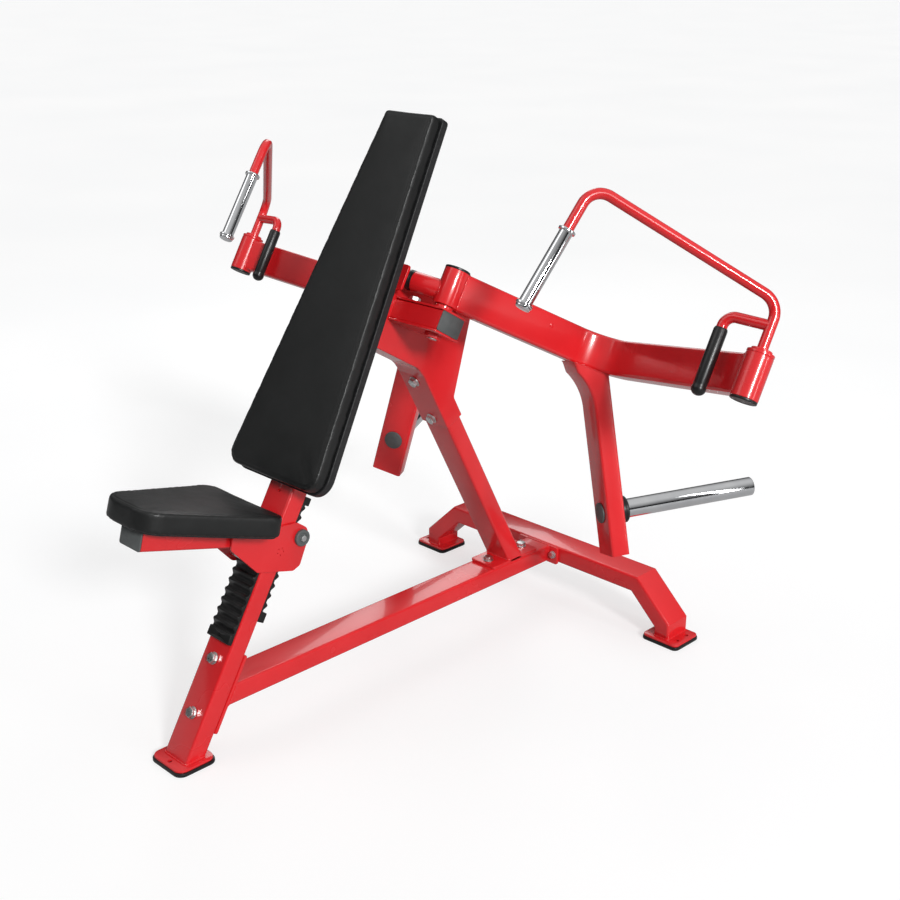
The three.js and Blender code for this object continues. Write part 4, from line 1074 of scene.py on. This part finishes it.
# ---- Upholstery ----
def pad_outline(bottom_half, top_half, low, high, radii, inset):
    bottom, top = bottom_half - inset, top_half - inset
    corners = ((-bottom, low + inset), (bottom, low + inset), (top, high - inset), (-top, high - inset))
    return rounded([Vector(p) for p in corners], [max(radius - inset, 4) for radius in radii], 14)


def draw_pad(shape, outline_at, base, top, rim, place):
    """A closed form with an upper edge rounded by the rim radius; place turns (u, v, height) into a point."""
    levels = [(base, 1.5), (base + 1.5, 0), (top - rim, 0)]
    for k in range(1, 7):
        angle = math.pi / 2 * k / 6
        levels.append((top - rim + rim * math.sin(angle), rim * (1 - math.cos(angle))))
    skin(shape, [[place(p.x, p.y, height) for p in outline_at(inset)] for height, inset in levels])


def inflate(piece, is_fixed, cap):
    """Lets the cover swell by up to cap metres, and holds the part that rests on the board."""
    remesh = piece.modifiers.new("remesh", "REMESH")
    remesh.mode = "VOXEL"
    remesh.voxel_size = COVER_MESH
    apply_modifiers(piece)
    rest = [v.co.copy() for v in piece.data.vertices]
    group = piece.vertex_groups.new(name="held")
    group.add([v.index for v in piece.data.vertices if is_fixed(v.co)], 1.0, "REPLACE")
    cloth = piece.modifiers.new("cloth", "CLOTH")
    cloth.settings.quality = 5
    cloth.settings.use_pressure = True
    cloth.settings.uniform_pressure_force = 4
    cloth.settings.effector_weights.gravity = 0
    cloth.settings.vertex_group_mass = "held"
    cloth.settings.tension_stiffness = 25
    cloth.settings.compression_stiffness = 25
    scene = bpy.context.scene
    for step in range(1, SWELL_FRAMES + 1):
        scene.frame_set(step)
    apply_modifiers(piece)
    scene.frame_set(1)
    furthest = max((v.co - start).length for v, start in zip(piece.data.vertices, rest))
    for vertex, start in zip(piece.data.vertices, rest):
        move = vertex.co - start
        vertex.co = start + move * min(1, cap / furthest)
    smooth = piece.modifiers.new("smooth", "SMOOTH")
    smooth.factor = 0.5
    smooth.iterations = 2
    finer = piece.modifiers.new("finer", "SUBSURF")
    finer.levels = 1
    finer.render_levels = 1
    apply_modifiers(piece)
    piece.data.shade_smooth()


def press_seam(piece, seam, width, depth):
    """Sinks a narrow seam into the cover along a closed line of points."""
    stations = resample(seam, width / 3)
    tree = KDTree(len(stations))
    for i, point in enumerate(stations):
        tree.insert(point, i)
    tree.balance()
    for vertex in piece.data.vertices:
        distance = tree.find(vertex.co)[2]
        if distance < width:
            vertex.co -= vertex.normal * depth * math.cos(distance / width * math.pi / 2) ** 2


def build_pad(name, node, body, where, place, outline_at, base, top, rim, cap):
    shape = bmesh.new()
    draw_pad(shape, lambda inset: outline_at(inset + SHRINK), base, top - SHRINK * 0.75, rim, place)
    piece = make_piece(name, shape, where, body, "vinyl", (node,))
    base_point = where @ place(0, 0, base)
    normal = (where.to_3x3() @ (place(0, 0, 1) - place(0, 0, 0))).normalized()
    inflate(piece, lambda co: (co - base_point).dot(normal) < HELD_DEPTH, cap)
    press_seam(piece, [where @ place(p.x, p.y, top) for p in outline_at(rim + 3)], SEAM_WIDTH, SEAM_DEPTH)


def build_back_rest():
    size = (BACK_HALF_BOTTOM, BACK_HALF_TOP, BACK_BOTTOM, BACK_TOP)

    def outline(inset):
        return pad_outline(*size, (40, 40, 8, 8), inset)

    build_pad("back_cushion_cover", "back_cushion", "frame", LEANING,
              lambda u, v, height: Vector((u, -height, v)), outline, BACK_BOARD + 0.6, -BACK_FRONT, 6, 0.003)
    shape = bmesh.new()
    slab(shape, pad_outline(*size, (42, 42, 10, 10), -4), GAP, BACK_BOARD + GAP, FORWARDS)
    finish("back_board", shape, LEANING, "board", edge=2, crease=50)


def build_seat_pad():
    def outline(inset):
        return pad_outline(SEAT_HALF_FRONT, SEAT_HALF_REAR, SEAT_FRONT, SEAT_REAR, (66, 66, 34, 34), inset)

    build_pad("seat_cushion_cover", "seat_cushion", "seat", SEAT, lambda u, v, height: Vector((u, v, height)),
              outline, 4 - SEAT_CUSHION - SEAT_BOARD, 0, 6, 0.004)
    shape = bmesh.new()
    slab(shape, outline(9), -SEAT_CUSHION - SEAT_BOARD - GAP, -SEAT_CUSHION - GAP)
    finish("seat_board", shape, SEAT, "board", "seat", edge=3, crease=50)


# ---- Weld beads ----
def stop_rod_bead():
    """The line where the stop rod meets the housing: a circle bent round the drum."""
    side = STOP_DIRECTION.cross(Z)
    circle = ring(STOP_CENTRE, side, Z, STOP_RADIUS + 0.5, 48)
    out = [math.sqrt(HOUSING_RADIUS ** 2 - (p - STOP_CENTRE).dot(side) ** 2) for p in circle]
    return [p + STOP_DIRECTION * reach for p, reach in zip(circle, out)]


def build_welds(frame_beads):
    shape = bmesh.new()
    for bead in frame_beads:
        weld(shape, bead)
    make_piece("frame_welds", shape, MACHINE, "frame", "red_frame", crease=80)
    inner, outer = arm_end_beads()

    def draw_arm_welds(beads):
        for bead in (inner, outer, weight_arm_bead(), stop_rod_bead()):
            weld(beads, bead, 1.6)

    make_pair("arm_welds", draw_arm_welds, "arm", "red_frame", "_detail", crease=80)


# ---- The whole machine ----
def build_machine():
    build_welds(build_front_post() + build_spine() + build_crossbeam() + build_upright())
    build_feet()
    build_bolts()
    build_head()
    build_pivot_beam()
    for name, draw, body, slot_name, options in (
            ("beam_cap", draw_beam_cap, "frame", "grey_plastic", {"edge": 0.4}),
            ("pivot_shaft", draw_pivot_shaft, "frame", "zinc_steel", {"edge": 0.3}),
            ("stop_bolt", draw_stop_screw, "frame", "zinc_steel", {"kind": "", "edge": 0.25}),
            ("shaft_collar", draw_shaft_collar, "frame", "red_frame", {"kind": "", "edge": 0.3}),
            ("pivot_housing", draw_pivot_housing, "arm", "red_frame", {}),
            ("pivot_cap", draw_pivot_cap, "arm", "black_plastic", {}),
            ("stop_bumper", draw_stop_bumper, "arm", "rubber", {}),
            ("press_arm", draw_press_arm, "arm", "red_frame", {"edge": 0.4}),
            ("arm_plug", draw_arm_plug, "arm", "red_frame", {"kind": "_detail"}),
            ("weight_arm", draw_weight_arm, "arm", "red_frame", {"edge": 0.6}),
            ("weight_horn", draw_horn, "arm", "chrome", {}),
            ("horn_bumper", draw_horn_bumper, "arm", "rubber", {}),
            ("horn_plug", draw_horn_plug, "arm", "grey_plastic", {}),
            ("handle_cap", draw_handle_cap, "arm", "black_plastic", {}),
            ("handle_frame", draw_handle_frame, "handle", "red_frame", {}),
            ("grip_keeper", draw_grip_keeper, "handle", "chrome", {"kind": "_detail"}),
            ("chrome_grip", draw_chrome_grip, "grip", "chrome", {}),
            ("rubber_grip", draw_rubber_grip, "handle", "rubber", {})):
        make_pair(name, draw, body, slot_name, **options)
    build_seat_frame()
    build_brackets()
    build_roller()
    build_racks()
    build_back_rest()
    build_seat_pad()


def build_studio():
    shape = bmesh.new()
    bmesh.ops.create_grid(shape, x_segments=8, y_segments=8, size=300)
    floor = add_mesh("studio_floor", shape)
    floor.data.materials.append(studio_floor())
    add_world((0.03, 0.031, 0.033), (1, 1, 1), 0.62, (0.9, 0.905, 0.91))
    add_sun("key", (-0.95, 0.35, -0.5), 2.4, 10)
    add_sun("fill", (0.5, 0.62, -0.8), 0.25, 30)
    add_area_light("right_strip", (3.4, 0.9, 1.8), (0.3, 0.4, 1.0), (0.2, 2.6), 18)
    add_area_light("rear_softbox", (-2.6, 2.6, 3.0), (0, 0, 0.8), (1.2, 3.0), 25)
    bpy.context.scene.view_settings.view_transform = "Standard"


add_camera()
build_machine()
build_studio()
